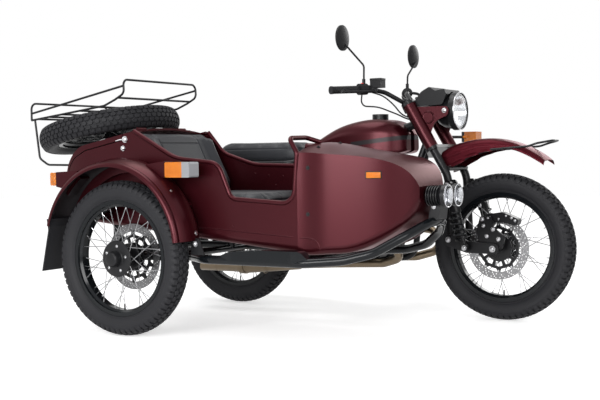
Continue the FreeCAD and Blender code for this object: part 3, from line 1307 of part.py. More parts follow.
def build():
    nodes = {}
    wheel_nodes(nodes)
    nodes["main_frame"] = main_frame()
    nodes["engine_case"] = engine_case()
    nodes["cylinders"] = cylinders()
    nodes["exhaust_system"] = exhaust_system(nodes["cylinders"])
    nodes["carburettors"] = carburettors()
    nodes["fuel_tank"] = fuel_tank()
    nodes["fuel_cap"] = fuel_cap(nodes["fuel_tank"])
    nodes["rider_seat"] = rider_seat(nodes["main_frame"])
    nodes["side_covers"] = side_covers(nodes["main_frame"])
    nodes["rear_fender"] = rear_fender(nodes["main_frame"])
    nodes["tail_lamp"] = tail_lamp(nodes["rear_fender"])
    nodes["swingarm"] = swingarm()
    nodes["rear_shocks"] = rear_shocks()
    nodes.update(front_end())
    outer, inner = sidecar_shell()
    rails = cockpit_rail(RIM_TUBE_R + SEAT_GAP)
    nodes["sidecar_body"] = largest(sidecar_body(outer, inner).cut(rails[0]).cut(rails[1]))
    nodes["cockpit_rail"] = Part.makeCompound(cockpit_rail(RIM_TUBE_R))
    nodes["boot_lid"] = boot_lid(outer, inner)
    nodes["sidecar_seat_back"] = seat_back()
    nodes["sidecar_seat_cushion"] = seat_cushion()
    nodes["sidecar_frame"] = sidecar_frame(outer, nodes["main_frame"])
    nodes["step_plate"] = step_plate(nodes["sidecar_frame"])
    nodes["driving_lamps"] = driving_lamps()
    nodes["driving_lamp_lenses"] = driving_lenses()
    nodes["sidecar_fender"] = sidecar_fender()
    nodes["mud_flap"] = mud_flap(nodes["sidecar_fender"])
    nodes["sidecar_lamps"] = sidecar_lamps()
    nodes["sidecar_swingarm"] = sidecar_swingarm()
    nodes["luggage_rack"] = luggage_rack(outer)
    return nodes


NODES = build()

box = FreeCAD.BoundBox()
for shape in NODES.values():
    box.add(shape.optimalBoundingBox(False, False))
OFFSET = at(-(box.XMin + box.XMax) / 2, -(box.YMin + box.YMax) / 2, -box.ZMin)

os.makedirs("parts", exist_ok=True)
for name, shape in NODES.items():
    moved = shape.translated(OFFSET)
    moved.exportStep("parts/" + name + ".step")
    print(name, len(moved.Solids), "solids", moved.isValid(), round(moved.Volume / 1e3), "cm3")
print("offset", OFFSET, "box", box.XLength, box.YLength, box.ZLength)
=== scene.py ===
# %% [markdown]
# # A touring motorcycle with a sidecar
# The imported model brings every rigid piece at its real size. This notebook gives each surface its finish
# and adds what a metalworker, an upholsterer and a tyre maker would add. The first cell loads the model.

# %% Load the model
import bpy
import bmesh
import math
from mathutils import Matrix, Vector


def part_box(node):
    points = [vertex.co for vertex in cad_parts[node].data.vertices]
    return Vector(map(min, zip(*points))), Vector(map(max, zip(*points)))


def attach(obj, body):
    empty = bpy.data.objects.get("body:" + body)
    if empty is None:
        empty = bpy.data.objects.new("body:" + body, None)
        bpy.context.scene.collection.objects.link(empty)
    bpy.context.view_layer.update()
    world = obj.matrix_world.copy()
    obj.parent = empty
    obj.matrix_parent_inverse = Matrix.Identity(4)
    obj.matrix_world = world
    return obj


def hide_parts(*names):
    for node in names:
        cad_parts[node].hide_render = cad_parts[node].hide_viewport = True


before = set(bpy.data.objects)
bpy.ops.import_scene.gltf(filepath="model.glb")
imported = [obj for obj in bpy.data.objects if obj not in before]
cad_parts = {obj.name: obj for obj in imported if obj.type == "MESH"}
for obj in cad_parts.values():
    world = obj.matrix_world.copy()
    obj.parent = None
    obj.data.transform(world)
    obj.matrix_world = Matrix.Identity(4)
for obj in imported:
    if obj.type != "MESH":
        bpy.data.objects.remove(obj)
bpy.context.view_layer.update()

# %% [markdown]
# ## A maker's coordinates
# Mechanics measure a motorcycle from its rear axle: forward, left and up. `at` turns such millimetres into
# the scene's metres. The rear tyre's own box says where the axle is.

# %% Coordinates
MM = 0.001


def middle(node):
    low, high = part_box(node)
    return (Vector(low) + Vector(high)) / 2


REAR, FRONT, SIDE = middle("rear_tyre"), middle("front_tyre"), middle("sidecar_tyre")
GROUND = Vector((REAR.x, REAR.y, 0))
Y, Z = Vector((0, 1, 0)), Vector((0, 0, 1))


def at(x, y, z):
    return GROUND + Vector((x, y, z)) * MM


def turned(degrees, axis):
    return Matrix.Rotation(math.radians(degrees), 4, axis)


print("wheelbase", round(FRONT.x - REAR.x, 3), "track", round(REAR.y - SIDE.y, 3))

# %% [markdown]
# ## The camera
# A long lens stands well back, a little above the hub line and ahead of the sidecar, so the near wheel and
# the far mirror keep their true proportions.

# %% Camera
CAMERA_AT = at(3338, -4806, 779)
YAW, PITCH, ROLL = -0.5510, -0.0402, -0.0155
LENS = 65.03

ahead = Vector((math.cos(PITCH) * math.sin(YAW), math.cos(PITCH) * math.cos(YAW), math.sin(PITCH)))
level = Vector((math.cos(YAW), -math.sin(YAW), 0))
up = level.cross(ahead)
right = level * math.cos(ROLL) + up * math.sin(ROLL)
up = up * math.cos(ROLL) - level * math.sin(ROLL)
scene = bpy.context.scene
camera_data = bpy.data.cameras.new("camera")
camera_data.lens = LENS
camera_data.sensor_width = 36
camera_data.clip_end = 60
camera = bpy.data.objects.new("camera", camera_data)
camera.matrix_world = Matrix.Translation(CAMERA_AT) @ Matrix((right, up, -ahead)).transposed().to_4x4()
scene.collection.objects.link(camera)
scene.camera = camera
print("camera", [round(v, 3) for v in CAMERA_AT])

# %% [markdown]
# ## Short words for nodes
# Every finish and every repeat below is a tree of nodes. Blender makes a node, sets it and links it in
# three steps; these two helpers say the same in one line, so a tree reads like a recipe.

# %% Nodes in one line


def add(tree, kind, inputs=(), **settings):
    """New node with its settings; each input gets a plain value or another node's output."""
    node = tree.nodes.new(kind)
    for label, value in settings.items():
        setattr(node, label, value)
    for label, value in dict(inputs).items():
        if isinstance(value, bpy.types.NodeSocket):
            tree.links.new(value, node.inputs[label])
        else:
            node.inputs[label].default_value = value
    return node


def maths(tree, operation, *values):
    return add(tree, "ShaderNodeMath", dict(enumerate(values)), operation=operation).outputs[0]


def seen_directly(tree):
    """Value 1 on camera, glossy and transmitted rays, else 0."""
    rays = add(tree, "ShaderNodeLightPath").outputs
    seen = maths(tree, "MAXIMUM", rays["Is Camera Ray"], rays["Is Glossy Ray"])
    return maths(tree, "MAXIMUM", seen, rays["Is Transmission Ray"])


print("helpers ready")

# %% [markdown]
# ## Light
# Painted metal shows its curves only by what it reflects. Large soft lamps give long gradual highlights.
# The world is a plain grey for the object, and pure white where the camera, glass or metal look past it.

# %% Light
WORLD_LEVEL = 0.30
scene.view_settings.view_transform = "Standard"
scene.world = bpy.data.worlds.new("studio")
scene.world.use_nodes = True
tree = scene.world.node_tree
strength = add(tree, "ShaderNodeMapRange",
               {"Value": seen_directly(tree), "To Min": WORLD_LEVEL, "To Max": 1.0})
back = tree.nodes["Background"]
back.inputs["Color"].default_value = (1, 1, 1, 1)
tree.links.new(strength.outputs[0], back.inputs["Strength"])

CENTRE = at(700, -500, 500)
for name, place, size, watts in (
        ("key", at(1150, -5000, 1550), (3.1, 1.9), 215), ("overhead", at(-200, -700, 4200), (3.0, 2.0), 80),
        ("fill", at(-3200, -2600, 2600), (1.6, 1.6), 14), ("rim", at(1800, 4200, 2400), (3.5, 1.6), 60),
        ("front", at(4300, -3100, 1900), (2.2, 1.6), 70)):
    data = bpy.data.lights.new(name, "AREA")
    data.shape = "RECTANGLE"
    data.size, data.size_y = size
    data.energy = watts
    lamp = bpy.data.objects.new(name, data)
    lamp.location = place
    lamp.rotation_euler = (CENTRE - place).to_track_quat("-Z", "Y").to_euler()
    scene.collection.objects.link(lamp)
print("lamps", len(bpy.data.lights))

# %% [markdown]
# ## A white floor that keeps the shadow
# A floor lit only by lamps turns grey towards the horizon. This one glows a little to the camera near the
# wheels and fully further out, so the object's shadow stays soft under the tyres and no horizon shows.

# %% Floor
SPAN = 14.0
NEAR, FAR = 1.6, 4.5             # metres from the middle, where the floor starts and ends its change
floor_mesh = bpy.data.meshes.new("floor")
corners = [(-SPAN, -SPAN, 0), (SPAN, -SPAN, 0), (SPAN, SPAN, 0), (-SPAN, SPAN, 0)]
floor_mesh.from_pydata(corners, [], [(0, 1, 2, 3)])
floor = bpy.data.objects.new("floor", floor_mesh)
scene.collection.objects.link(floor)

floor_paint = bpy.data.materials.new("floor_paint")
floor_paint.use_nodes = True
tree = floor_paint.node_tree
place = add(tree, "ShaderNodeTexCoord").outputs["Object"]
reach = add(tree, "ShaderNodeVectorMath", {0: place}, operation="LENGTH").outputs["Value"]


def ramped(near_value, far_value):
    limits = {"From Min": NEAR, "From Max": FAR, "To Min": near_value, "To Max": far_value}
    step = add(tree, "ShaderNodeMapRange", {"Value": reach, **limits}, interpolation_type="SMOOTHSTEP")
    return step.outputs[0]


surface = tree.nodes["Principled BSDF"]
surface.inputs["Roughness"].default_value = 0.6
surface.inputs["Emission Color"].default_value = (1, 1, 1, 1)
tree.links.new(ramped(0.80, 0.0), surface.inputs["Base Color"])
glow = maths(tree, "MULTIPLY", ramped(0.52, 1.0), seen_directly(tree))
tree.links.new(glow, surface.inputs["Emission Strength"])
floor_mesh.materials.append(floor_paint)
print("floor", 2 * SPAN, "m across")

# %% [markdown]
# ## Shared surface effects
# Real finishes are never even. Two small groups serve all of them: `grain` makes fine bumps and a drifting
# roughness, and `drift` shifts a colour slowly over the surface.

# %% Shared surface effects


def group_of(name, inputs, outputs):
    """Shader group whose sockets are given as {name: kind}; gives what goes in and where its results go."""
    group = bpy.data.node_groups.new(name, "ShaderNodeTree")
    for way, sockets in (("INPUT", inputs), ("OUTPUT", outputs)):
        for label, kind in sockets.items():
            group.interface.new_socket(label, in_out=way, socket_type="NodeSocket" + kind)
    return group, group.nodes.new("NodeGroupInput").outputs, group.nodes.new("NodeGroupOutput").inputs


def make_grain():
    """Noise at a real scale: a bumped normal and a roughness that varies round a middle value."""
    group, given, result = group_of(
        "grain", {"Scale": "Float", "Depth": "Float", "Roughness": "Float", "Spread": "Float"},
        {"Normal": "Vector", "Roughness": "Float"})
    place = add(group, "ShaderNodeTexCoord").outputs["Object"]
    fine = add(group, "ShaderNodeTexNoise", {"Vector": place, "Scale": given["Scale"], "Detail": 3})
    bump = add(group, "ShaderNodeBump", {"Distance": given["Depth"], "Height": fine.outputs["Fac"]})
    slow = add(group, "ShaderNodeTexNoise", {"Vector": place, "Scale": 9, "Detail": 4})
    centred = maths(group, "SUBTRACT", slow.outputs["Fac"], 0.5)
    varied = maths(group, "MULTIPLY_ADD", centred, given["Spread"], given["Roughness"])
    group.links.new(bump.outputs["Normal"], result["Normal"])
    group.links.new(varied, result["Roughness"])
    return group


def make_drift():
    """A colour that turns slowly towards a second one, in soft patches."""
    group, given, result = group_of(
        "drift", {"Colour": "Color", "Other": "Color", "Scale": "Float", "Amount": "Float"},
        {"Colour": "Color"})
    place = add(group, "ShaderNodeTexCoord").outputs["Object"]
    patches = add(group, "ShaderNodeTexNoise", {"Vector": place, "Scale": given["Scale"], "Detail": 5})
    share = maths(group, "MULTIPLY", patches.outputs["Fac"], given["Amount"])
    mix = add(group, "ShaderNodeMix", {"Factor": share, "A": given["Colour"], "B": given["Other"]},
              data_type="RGBA")
    group.links.new(mix.outputs["Result"], result["Colour"])
    return group


GRAIN, DRIFT = make_grain(), make_drift()
print("groups", GRAIN.name, DRIFT.name)

# %% [markdown]
# ## Finishes
# `finish` builds one material from both groups. The table under it is the paint shop's list: each row is
# one finish of this vehicle, with the scale of its grain in grains per metre and the depth of its bumps in
# metres.

# %% Finishes
RIDGE = 0.003                    # depth in metres that a lens's prisms seem to have


def finish(name, colour, other, grain, depth, rough, spread=0.08, patch=6.0, ribs=0, **sockets):
    """A material of grain and drift; `patch` and `ribs` are per metre, `sockets` go to the shader itself."""
    material = bpy.data.materials.new(name)
    material.use_nodes = True
    tree = material.node_tree
    grit = add(tree, "ShaderNodeGroup", {
        "Scale": grain, "Depth": depth, "Roughness": rough, "Spread": spread}, node_tree=GRAIN).outputs
    tint = add(tree, "ShaderNodeGroup", {
        "Colour": (*colour, 1), "Other": (*other, 1), "Scale": patch, "Amount": 0.5}, node_tree=DRIFT)
    normal = grit["Normal"]
    if ribs:                                     # moulded prisms of a lens
        place = add(tree, "ShaderNodeTexCoord").outputs["Object"]
        prisms = add(tree, "ShaderNodeTexWave", {"Vector": place, "Scale": ribs}).outputs["Fac"]
        ridge = add(tree, "ShaderNodeBump", {"Distance": RIDGE, "Height": prisms, "Normal": normal})
        normal = ridge.outputs["Normal"]
    surface = tree.nodes["Principled BSDF"]
    tree.links.new(tint.outputs["Colour"], surface.inputs["Base Color"])
    tree.links.new(grit["Roughness"], surface.inputs["Roughness"])
    tree.links.new(normal, surface.inputs["Normal"])
    for label, value in sockets.items():
        surface.inputs[label.replace("_", " ")].default_value = value
    return material


FINISHES = {
    # colour, the one it drifts to, grains per metre, depth of bumps, roughness, then sockets of the shader
    "burgundy": dict(colour=(0.042, 0.0042, 0.0072), other=(0.033, 0.0032, 0.0054), grain=2600,
        depth=0.000002, rough=0.33, spread=0.04, Metallic=0.65, Specular_IOR_Level=0.15,
        Specular_Tint=(0.55, 0.22, 0.28, 1), Coat_Weight=0.22, Coat_Roughness=0.26),
    "black_satin": dict(colour=(0.006, 0.006, 0.007), other=(0.011, 0.011, 0.012), grain=1500,
        depth=0.00003, rough=0.34, Specular_IOR_Level=0.20),
    "black_gloss": dict(colour=(0.004, 0.005, 0.006), other=(0.007, 0.008, 0.010), grain=300,
        depth=0.00002, rough=0.14, Specular_IOR_Level=0.20),
    "black_plastic": dict(colour=(0.008, 0.008, 0.009), other=(0.013, 0.013, 0.014), grain=1800,
        depth=0.00006, rough=0.50, Specular_IOR_Level=0.18),
    "rubber": dict(colour=(0.011, 0.011, 0.013), other=(0.021, 0.021, 0.023), grain=900, depth=0.0001,
        rough=0.60, Specular_IOR_Level=0.18),
    "vinyl": dict(colour=(0.017, 0.018, 0.021), other=(0.024, 0.025, 0.029), grain=620, depth=0.00022,
        rough=0.46, Specular_IOR_Level=0.25),
    "steel": dict(colour=(0.40, 0.40, 0.41), other=(0.28, 0.28, 0.29), grain=1200, depth=0.00002,
        rough=0.28, Metallic=1.0),
    "chrome": dict(colour=(0.66, 0.66, 0.68), other=(0.55, 0.55, 0.57), grain=200, depth=0.00001,
        rough=0.08, Metallic=1.0),
    "disc_steel": dict(colour=(0.20, 0.20, 0.205), other=(0.12, 0.12, 0.123), grain=1600, depth=0.00003,
        rough=0.30, Metallic=1.0),
    "exhaust": dict(colour=(0.200, 0.158, 0.110), other=(0.085, 0.062, 0.040), grain=700, depth=0.00003,
        rough=0.34, Metallic=1.0, patch=14),
    "engine_black": dict(colour=(0.012, 0.012, 0.013), other=(0.020, 0.020, 0.020), grain=700,
        depth=0.00015, rough=0.5, Specular_IOR_Level=0.25),
    "amber": dict(colour=(0.80, 0.24, 0.012), other=(0.48, 0.070, 0.004), grain=240, depth=0.0008,
        rough=0.12, patch=38, ribs=70),
    "red_lens": dict(colour=(0.45, 0.01, 0.01), other=(0.60, 0.02, 0.01), grain=240, depth=0.0004,
        rough=0.18, patch=30, ribs=70),
    "red_knob": dict(colour=(0.55, 0.02, 0.015), other=(0.42, 0.015, 0.012), grain=600, depth=0.00005,
        rough=0.35),
    "glass": dict(colour=(0.95, 0.96, 0.97), other=(0.92, 0.94, 0.95), grain=60, depth=0.0004, rough=0.03,
        spread=0.01, Transmission_Weight=1.0, IOR=1.2),
}
PAINT = {name: finish(name, **row) for name, row in FINISHES.items()}
# the record's slot of each finish; the rest have the slot's own name
print("finishes", len(PAINT))

# %% [markdown]
# ## Two finishes on one piece
# The fenders' faces that look down are painted black: painted shade, where the inside of a fender lies in
# shadow. One lamp lens is half amber, half clear. The group `between` measures along one direction and
# answers 1 inside a stretch. Its mask mixes the two finishes in the material, so no mesh has to be cut.

# %% Masks


def make_between(source):
    """Mask 1 where the position or the normal, measured along a direction, is between two values."""
    wanted = {"Direction": "Vector", "Low": "Float", "High": "Float", "Soft": "Float"}
    group, given, result = group_of("between_" + source.lower(), wanted, {"Mask": "Float"})
    place = add(group, "ShaderNodeTexCoord").outputs[source]
    along = add(group, "ShaderNodeVectorMath", {0: place, 1: given["Direction"]}, operation="DOT_PRODUCT")
    along = along.outputs["Value"]
    shares = []
    for first, second in ((along, given["Low"]), (given["High"], along)):
        gap = maths(group, "SUBTRACT", first, second)
        share = add(group, "ShaderNodeMath", {0: gap, 1: given["Soft"]}, operation="DIVIDE", use_clamp=True)
        shares.append(share.outputs[0])
    group.links.new(maths(group, "MULTIPLY", *shares), result["Mask"])
    return group


BETWEEN = {source: make_between(source) for source in ("Object", "Normal")}


def two_finishes(name, row, colour, rough, *marks):
    """The finish of `row`, and another colour where every mark holds (source, direction, low, high, soft)."""
    material = finish(name, **row)
    tree = material.node_tree
    masks = [add(tree, "ShaderNodeGroup", {"Direction": direction, "Low": low, "High": high, "Soft": soft},
                 node_tree=BETWEEN[source]).outputs["Mask"] for source, direction, low, high, soft in marks]
    total = masks[0] if len(masks) == 1 else maths(tree, "MULTIPLY", *masks)
    surface = tree.nodes["Principled BSDF"]
    for label, value, kind in (("Base Color", (*colour, 1), "RGBA"), ("Roughness", rough, "FLOAT"),
                               ("Metallic", 0.0, "FLOAT")):
        socket = surface.inputs[label]
        first = socket.links[0].from_socket if socket.links else socket.default_value
        mix = add(tree, "ShaderNodeMix", {"Factor": total, "A": first, "B": value}, data_type=kind)
        tree.links.new(mix.outputs["Result"], socket)
    return material


# BLACK is the tank stripe's and the indicator's own black, and also the fenders' painted shade underneath
BLACK, CLEAR = (0.012, 0.012, 0.013), (0.34, 0.35, 0.37)
EDGE = 0.0006                    # metres over which one colour gives way to the other
# painted shade: black on every fender face that looks down, where the inside of a fender lies in shadow
SHADED_UNDERSIDE = ("Normal", (0, 0, 1), -2.0, -0.25, 0.05)
SLOPE = 29 / 265                 # rise of the tank's stripe
STRIPE_START, STRIPE_HEIGHT, STRIPE_HALF = 0.771, 0.834, 0.011      # metres from the rear axle and the ground


def stretch(start, end):
    """What lies between two distances in metres ahead of the rear axle."""
    return "Object", (1, 0, 0), GROUND.x + start, GROUND.x + end, EDGE


burgundy, amber = FINISHES["burgundy"], FINISHES["amber"]
soft_burgundy = dict(burgundy, colour=(0.060, 0.0068, 0.0110), Metallic=0.45, Coat_Weight=0.0)
line_at = STRIPE_HEIGHT - SLOPE * (GROUND.x + STRIPE_START)
stripe = "Object", (-SLOPE, 0, 1), line_at - STRIPE_HALF, line_at + STRIPE_HALF, EDGE
for name, *recipe in (
        # both fenders: burgundy, with painted shade in black on their faces that look down
        ("fender_paint", burgundy, BLACK, 0.45, SHADED_UNDERSIDE),
        ("front_fender_paint", soft_burgundy, BLACK, 0.45, SHADED_UNDERSIDE),
        ("tank_paint", burgundy, BLACK, 0.4, stripe, stretch(STRIPE_START, 1.1)),
        ("indicator_paint", amber, BLACK, 0.45, stretch(1.0, 1.226)),
        ("lamp_paint", amber, CLEAR, 0.14, stretch(0.503, 0.6))):
    PAINT[name] = two_finishes(name, *recipe)
print("finishes with mixed ones", len(PAINT))

# %% [markdown]
# ## Finishes for the pieces that stay
# Most rigid pieces already have their final shape. Each takes its finish from this list by name.

# %% Finish of the model's own pieces
NODE_FINISH = {
    "burgundy": "side_covers rear_fender fork_ears sidecar_body cockpit_rail boot_lid",
    # both fenders carry painted shade: black where their faces look down
    "front_fender_paint": "front_fender",
    "fender_paint": "sidecar_fender",
    "tank_paint": "fuel_tank",
    "black_gloss": "sidecar_frame step_plate front_rim rear_rim sidecar_rim spare_wheel",
    "black_satin": "main_frame swingarm rear_shocks fork leading_link front_shocks handlebar fender_rail "
                   "brake_caliper driving_lamps luggage_rack fuel_cap sidecar_swingarm",
    "black_plastic": "instrument_cowl hand_controls mirrors control_cables",
    "rubber": "mud_flap",
    "steel": "front_spokes rear_spokes sidecar_spokes",
    "exhaust": "exhaust_system",
    "engine_black": "engine_case cylinders carburettors",
    "indicator_paint": "front_indicator",
    "lamp_paint": "sidecar_lamps",
    "red_lens": "tail_lamp",
    "glass": "headlamp_lens",
}
for paint, names in NODE_FINISH.items():
    for name in names.split():
        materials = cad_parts[name].data.materials
        materials.clear()
        materials.append(PAINT[paint])
print("painted", len(" ".join(NODE_FINISH.values()).split()))

# %% [markdown]
# ## Tools for added pieces
# A lathe, a plate cutter and a tube bender cover most metalwork. In Blender a lathe is a profile turned
# about an axis, a plate is a flat outline with holes given a thickness, and a bent tube is a ring of points
# carried along a path. Each helper gives back a mesh in its final place, so the object itself stays at the
# origin.

# %% Lathe, plate, tube
from mathutils.bvhtree import BVHTree
from mathutils.geometry import delaunay_2d_cdt

WELD = 0.00002                   # points nearer than this many metres are one point


def plain(work, name):
    """The work as a mesh of its own."""
    mesh = bpy.data.meshes.new(name)
    work.to_mesh(mesh)
    work.free()
    return mesh


def mesh_of(work, name):
    bmesh.ops.remove_doubles(work, verts=work.verts, dist=WELD)
    bmesh.ops.recalc_face_normals(work, faces=work.faces)
    return plain(work, name)


def smooth(mesh, angle=35):
    mesh.shade_smooth()
    mesh.set_sharp_from_angle(angle=math.radians(angle))
    return mesh


def moved(mesh, place):
    mesh.transform(place)
    return mesh


def together(meshes, name):
    work = bmesh.new()
    for mesh in meshes:
        work.from_mesh(mesh)
    return plain(work, name)


def circle(steps):
    """Cosine and sine of each step round a circle."""
    return [(math.cos(2 * math.pi * k / steps), math.sin(2 * math.pi * k / steps)) for k in range(steps)]


def walled(work, rings, ends=True):
    """Quads between neighbouring rings of points, and a face on the first and the last ring."""
    for one, two in zip(rings, rings[1:]):
        for k in range(len(one)):
            n = (k + 1) % len(one)
            work.faces.new([one[k], one[n], two[n], two[k]])
    if ends:
        work.faces.new(rings[0])
        work.faces.new(rings[-1])
    return work


def lathed(profile, steps=96, closed=True):
    """Profile of (radius, along) in mm turned about local Y, round the origin."""
    work = bmesh.new()
    rings = []
    for radius, along in profile:
        if radius < 0.01:
            rings.append([work.verts.new((0, along * MM, 0))])
            continue
        r = radius * MM
        rings.append([work.verts.new((r * c, along * MM, r * s)) for c, s in circle(steps)])
    for one, two in zip(rings, rings[1:] + (rings[:1] if closed else [])):
        for k in range(steps):
            n = (k + 1) % steps
            corners = [one[k % len(one)], one[n % len(one)], two[n % len(two)], two[k % len(two)]]
            corners = list(dict.fromkeys(corners))
            if len(corners) > 2:
                work.faces.new(corners)
    return smooth(mesh_of(work, "lathed"))


def inside(point, loop):
    hit = False
    for (ax, ay), (bx, by) in zip(loop, loop[1:] + loop[:1]):
        if (ay > point.y) != (by > point.y) and point.x < (bx - ax) * (point.y - ay) / (by - ay) + ax:
            hit = not hit
    return hit


def plate(outline, holes, thick, seam=None):
    """Flat outline of (x, z) in mm, with holes and a thickness along Y; `seam` is two rays without a wall."""
    loops = [outline] + list(holes)
    points = [Vector(p) for loop in loops for p in loop]
    edges, start = [], 0
    for loop in loops:
        edges += [(start + k, start + (k + 1) % len(loop)) for k in range(len(loop))]
        start += len(loop)
    flat, _, faces, *_ = delaunay_2d_cdt(points, edges, [], 0, 0.0001)
    work = bmesh.new()
    front = [work.verts.new((p.x * MM, -thick / 2 * MM, p.y * MM)) for p in flat]
    back = [work.verts.new((p.x * MM, thick / 2 * MM, p.y * MM)) for p in flat]
    sides = {}
    for face in faces:
        centre = sum((flat[i] for i in face), Vector((0, 0))) / len(face)
        if not inside(centre, outline) or any(inside(centre, hole) for hole in holes):
            continue
        work.faces.new([front[i] for i in face])
        work.faces.new([back[i] for i in reversed(face)])
        sides |= dict.fromkeys(zip(face, face[1:] + face[:1]))
    for i, j in sides:
        if (j, i) in sides:
            continue
        ray = math.atan2((flat[i].y + flat[j].y), (flat[i].x + flat[j].x))
        ends = [math.atan2(flat[k].y, flat[k].x) for k in (i, j)]
        if seam and max(abs(a - ray) for a in ends) < 0.0002 and min(abs(ray - s) for s in seam) < 0.0005:
            continue
        work.faces.new([front[j], front[i], back[i], back[j]])
    return mesh_of(work, "plate")


def tube(points, radius, sides=12):
    """Round bar along points given in scene metres; radius in mm, one value or one for each point."""
    work = bmesh.new()
    rings = []
    across = None
    for k, point in enumerate(points):
        way = (points[min(k + 1, len(points) - 1)] - points[max(k - 1, 0)]).normalized()
        if across is None:
            across = way.orthogonal().normalized()
        across = (across - way * across.dot(way)).normalized()
        other = way.cross(across)
        r = (radius[k] if isinstance(radius, list) else radius) * MM
        rings.append([work.verts.new(point + (across * c + other * s) * r) for c, s in circle(sides)])
    return smooth(mesh_of(walled(work, rings), "tube"))


def curved(points, steps):
    """Smooth path through points in scene metres."""
    path = []
    for k in range(len(points) - 1):
        a, b, c, d = (points[max(0, min(len(points) - 1, k + n))] for n in (-1, 0, 1, 2))
        for n in range(steps):
            t = n / steps
            path.append(0.5 * ((2 * b) + (c - a) * t + (2 * a - 5 * b + 4 * c - d) * t * t
                               + (3 * b - a - 3 * c + d) * t ** 3))
    return path + [points[-1]]


def piece(name, mesh, paint, body, *stands_for):
    """One finished piece of the vehicle: its paint, the body it moves with, and the node it replaces."""
    obj = bpy.data.objects.new(name, mesh)
    mesh.name = name
    scene.collection.objects.link(obj)
    mesh.materials.clear()
    mesh.materials.append(PAINT[paint])
    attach(obj, body)
    if stands_for:
        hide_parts(*stands_for)
    return obj


print("tools ready")

# %% [markdown]
# ## Touching a painted surface
# A rivet has to sit on the metal, not near it. A ray cast at the model's own surface gives the point and
# the way the metal faces there.

# %% Touching a surface
TREES = {}


def touch(node, start, way):
    """Where a ray from start meets a node: the point and the outward normal."""
    if node not in TREES:
        TREES[node] = BVHTree.FromObject(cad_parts[node], bpy.context.evaluated_depsgraph_get())
    point, normal, _, _ = TREES[node].ray_cast(start, way.normalized())
    if point is None:
        raise ValueError(f"no metal of {node} on the ray from {list(start)}")
    return point, normal if normal.dot(way) < 0 else -normal


def body_side(x, z, y=-1400):
    """The sidecar body's metal, met from its right-hand side or from inside it."""
    return touch("sidecar_body", at(x, y, z), Y)


print("side of the body at", [round(v, 3) for v in body_side(800, 600)[0]])

# %% [markdown]
# ## Repeats by Geometry Nodes
# A tyre's tread, a disc's holes and a bolt pattern are one small shape many times over. One tree turns a
# shape round the axle, another puts a fastener at each marked spot, a third winds a spring. All three end
# in real geometry, because an export drops instances.

# %% The three trees


def new_tree(name, inputs):
    tree = bpy.data.node_groups.new(name, "GeometryNodeTree")
    for label, kind in {"Geometry": "Geometry", **inputs, "Material": "Material"}.items():
        tree.interface.new_socket(label, in_out="INPUT", socket_type="NodeSocket" + kind)
    tree.interface.new_socket("Geometry", in_out="OUTPUT", socket_type="NodeSocketGeometry")
    return tree, add(tree, "NodeGroupInput").outputs


def end_tree(tree, geometry, material):
    real = add(tree, "GeometryNodeRealizeInstances", {0: geometry})
    painted = add(tree, "GeometryNodeSetMaterial", {"Geometry": real.outputs[0], "Material": material})
    add(tree, "NodeGroupOutput", {"Geometry": painted.outputs["Geometry"]})
    return tree


def make_round_tree():
    """Turns the incoming shape round local Y, Count times."""
    tree, given = new_tree("round_the_axle", {"Count": "Int"})
    points = add(tree, "GeometryNodePoints", {"Count": given["Count"]})
    share = maths(tree, "DIVIDE", add(tree, "GeometryNodeInputIndex").outputs[0], given["Count"])
    turn = add(tree, "ShaderNodeCombineXYZ", {"Y": maths(tree, "MULTIPLY", share, 2 * math.pi)})
    put = add(tree, "GeometryNodeInstanceOnPoints", {
        "Points": points.outputs[0], "Instance": given["Geometry"], "Rotation": turn.outputs[0]})
    return end_tree(tree, put.outputs[0], given["Material"])


def make_fastener_tree():
    """A washer, a head and a small stud end at each point, facing along its own attribute."""
    tree, given = new_tree("fasteners", {
        "Sides": "Int", "Washer": "Float", "Head Height": "Float", "Tip": "Float"})

    def cone(bottom, top, low, high, sides):
        shape = add(tree, "GeometryNodeMeshCone", {
            "Radius Bottom": bottom, "Radius Top": top, "Vertices": sides,
            "Depth": maths(tree, "SUBTRACT", high, low)})
        rise = add(tree, "ShaderNodeCombineXYZ", {"Z": low})
        lifted = add(tree, "GeometryNodeTransform", {
            "Geometry": shape.outputs["Mesh"], "Translation": rise.outputs[0]})
        return lifted.outputs["Geometry"]

    def marked(label, kind):
        mark = add(tree, "GeometryNodeInputNamedAttribute", {"Name": label}, data_type=kind)
        return mark.outputs["Attribute"]

    washer, height, tip, sides = (given[label] for label in ("Washer", "Head Height", "Tip", "Sides"))
    whole = add(tree, "GeometryNodeJoinGeometry")
    for shape in (cone(washer, washer, -0.3, 0.25, 20), cone(1.0, 1.0, 0.0, height, sides),
                  cone(0.98, 0.72, height, maths(tree, "ADD", height, 0.16), sides),
                  cone(tip, tip, 0.0, maths(tree, "ADD", height, 0.38), 10)):
        tree.links.new(shape, whole.inputs[0])
    facing = marked("facing", "FLOAT_VECTOR")
    turn = add(tree, "FunctionNodeAlignRotationToVector", {"Vector": facing}, axis="Z")
    put = add(tree, "GeometryNodeInstanceOnPoints", {
        "Points": given["Geometry"], "Instance": whole.outputs[0], "Rotation": turn.outputs[0],
        "Scale": marked("size", "FLOAT")})
    return end_tree(tree, put.outputs[0], given["Material"])


def make_spring_tree():
    """A coil of wire wound up local Z."""
    tree, given = new_tree("spring", dict.fromkeys(("Turns", "Radius", "Height", "Wire"), "Float"))
    coil = add(tree, "GeometryNodeCurveSpiral", {
        "Resolution": 20, "Rotations": given["Turns"], "Start Radius": given["Radius"],
        "End Radius": given["Radius"], "Height": given["Height"]})
    wire = add(tree, "GeometryNodeCurvePrimitiveCircle", {"Resolution": 8, "Radius": given["Wire"]})
    swept = add(tree, "GeometryNodeCurveToMesh", {"Curve": coil.outputs[0], "Profile Curve": wire.outputs[0],
                                                  "Fill Caps": True})
    return end_tree(tree, swept.outputs[0], given["Material"])


